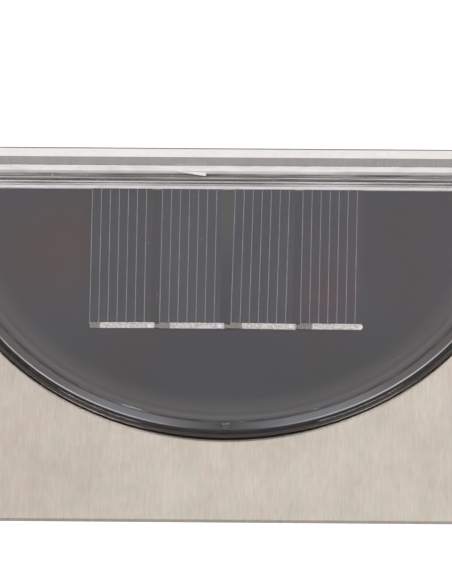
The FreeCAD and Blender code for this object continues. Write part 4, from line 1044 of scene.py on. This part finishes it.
floor = start_piece("floor", bpy.ops.mesh.primitive_plane_add, size=1.0)
editing(True)
bpy.ops.transform.resize(value=(*FLOOR_SIZE, 1))
bpy.ops.transform.translate(value=(0, FLOOR_SHIFT, FLOOR_LEVEL * MM))
editing(False)
paper, tree, shader = new_finish("white_studio_paper", "E6E5E3", Roughness=0.8)
fibre = spread(tree, (3, 3, 3), detail=2)
tree.links.new(shades(tree, fibre, (0.3, "E4E3E1"), (0.7, "E8E7E5")), shader.inputs["Base Color"])
path = add_node(tree, "ShaderNodeLightPath")
seen = path.outputs["Is Camera Ray"]
for ray in ("Is Glossy Ray", "Is Transmission Ray"):
    either = add_node(tree, "ShaderNodeMath", {0: seen, 1: path.outputs[ray]}, operation="MAXIMUM")
    seen = either.outputs["Value"]
glow = add_node(tree, "ShaderNodeMath", {0: seen, 1: FLOOR_GLOW}, operation="MULTIPLY")
shader.inputs["Emission Color"].default_value = linear("FFFFFF")
tree.links.new(glow.outputs["Value"], shader.inputs["Emission Strength"])
side = add_node(tree, "ShaderNodeNewGeometry")
clear_below = add_node(tree, "ShaderNodeBsdfTransparent", {"Color": linear("FFFFFF")})
one_sided = add_node(
    tree,
    "ShaderNodeMixShader",
    {0: side.outputs["Backfacing"], 1: shader.outputs["BSDF"], 2: clear_below.outputs["BSDF"]},
)
tree.links.new(one_sided.outputs["Shader"], tree.nodes["Material Output"].inputs["Surface"])
floor.data.materials.append(paper)
print("floor at", FLOOR_LEVEL, "mm")

# %% [markdown]
# ## World
# The world lights the object from all round. It is whiter behind and above than in front, as in a studio
# with a white backdrop, and the steel shows that. To the camera itself it is plain white.

# %% World
FRONT_LIGHT = 0.42
BACK_LIGHT = 1.0
TOP_LIGHT = 0.8

world = bpy.data.worlds.new("studio")
bpy.context.scene.world = world
world.use_nodes = True
tree = world.node_tree
direction = add_node(tree, "ShaderNodeTexCoord")
axes = add_node(tree, "ShaderNodeSeparateXYZ", {0: direction.outputs["Generated"]})
front_back = add_node(
    tree,
    "ShaderNodeMapRange",
    {
        "Value": axes.outputs["Y"],
        "From Min": -0.5,
        "From Max": 0.5,
        "To Min": FRONT_LIGHT,
        "To Max": BACK_LIGHT,
    },
)
upward = add_node(
    tree, "ShaderNodeMapRange", {"Value": axes.outputs["Z"], "From Min": 0.55, "From Max": 0.95}
)
level = add_node(
    tree, "ShaderNodeMix", {0: upward.outputs["Result"], 2: front_back.outputs["Result"], 3: TOP_LIGHT}
)
path = add_node(tree, "ShaderNodeLightPath")
seen = add_node(tree, "ShaderNodeMix", {0: path.outputs["Is Camera Ray"], 2: level.outputs[0], 3: 1.0})
sky = tree.nodes["Background"]
sky.inputs["Color"].default_value = linear("FFFFFF")
tree.links.new(seen.outputs[0], sky.inputs["Strength"])
print("world: front", FRONT_LIGHT, "back", BACK_LIGHT, "top", TOP_LIGHT)

# %% [markdown]
# ## Lamps
# Two softboxes stand above, left and right of the camera's line of sight. Large lamps give the soft edges
# and long gentle highlights of a product picture.

# %% Softboxes
SOFTBOX_SIZE = 0.7  # metres
SOFTBOX_POWER = 8.0  # watts
SOFTBOX_PLACE = (0.946, -1.551, 1.2364)  # metres

for hand in (-1, 1):
    lamp_data = bpy.data.lights.new("softbox", "AREA")
    lamp_data.shape = "SQUARE"
    lamp_data.size = SOFTBOX_SIZE
    lamp_data.energy = SOFTBOX_POWER
    softbox = bpy.data.objects.new("softbox", lamp_data)
    bpy.context.scene.collection.objects.link(softbox)
    softbox.location = (SOFTBOX_PLACE[0] * hand, *SOFTBOX_PLACE[1:])
    softbox.rotation_euler = (-softbox.location).to_track_quat("-Z", "Y").to_euler()
print("two softboxes of", SOFTBOX_POWER, "W")

# %% [markdown]
# ## Finish
# The colours are shown as they are written, so the view transform is Standard.

# %% Finish
bpy.context.scene.view_settings.view_transform = "Standard"
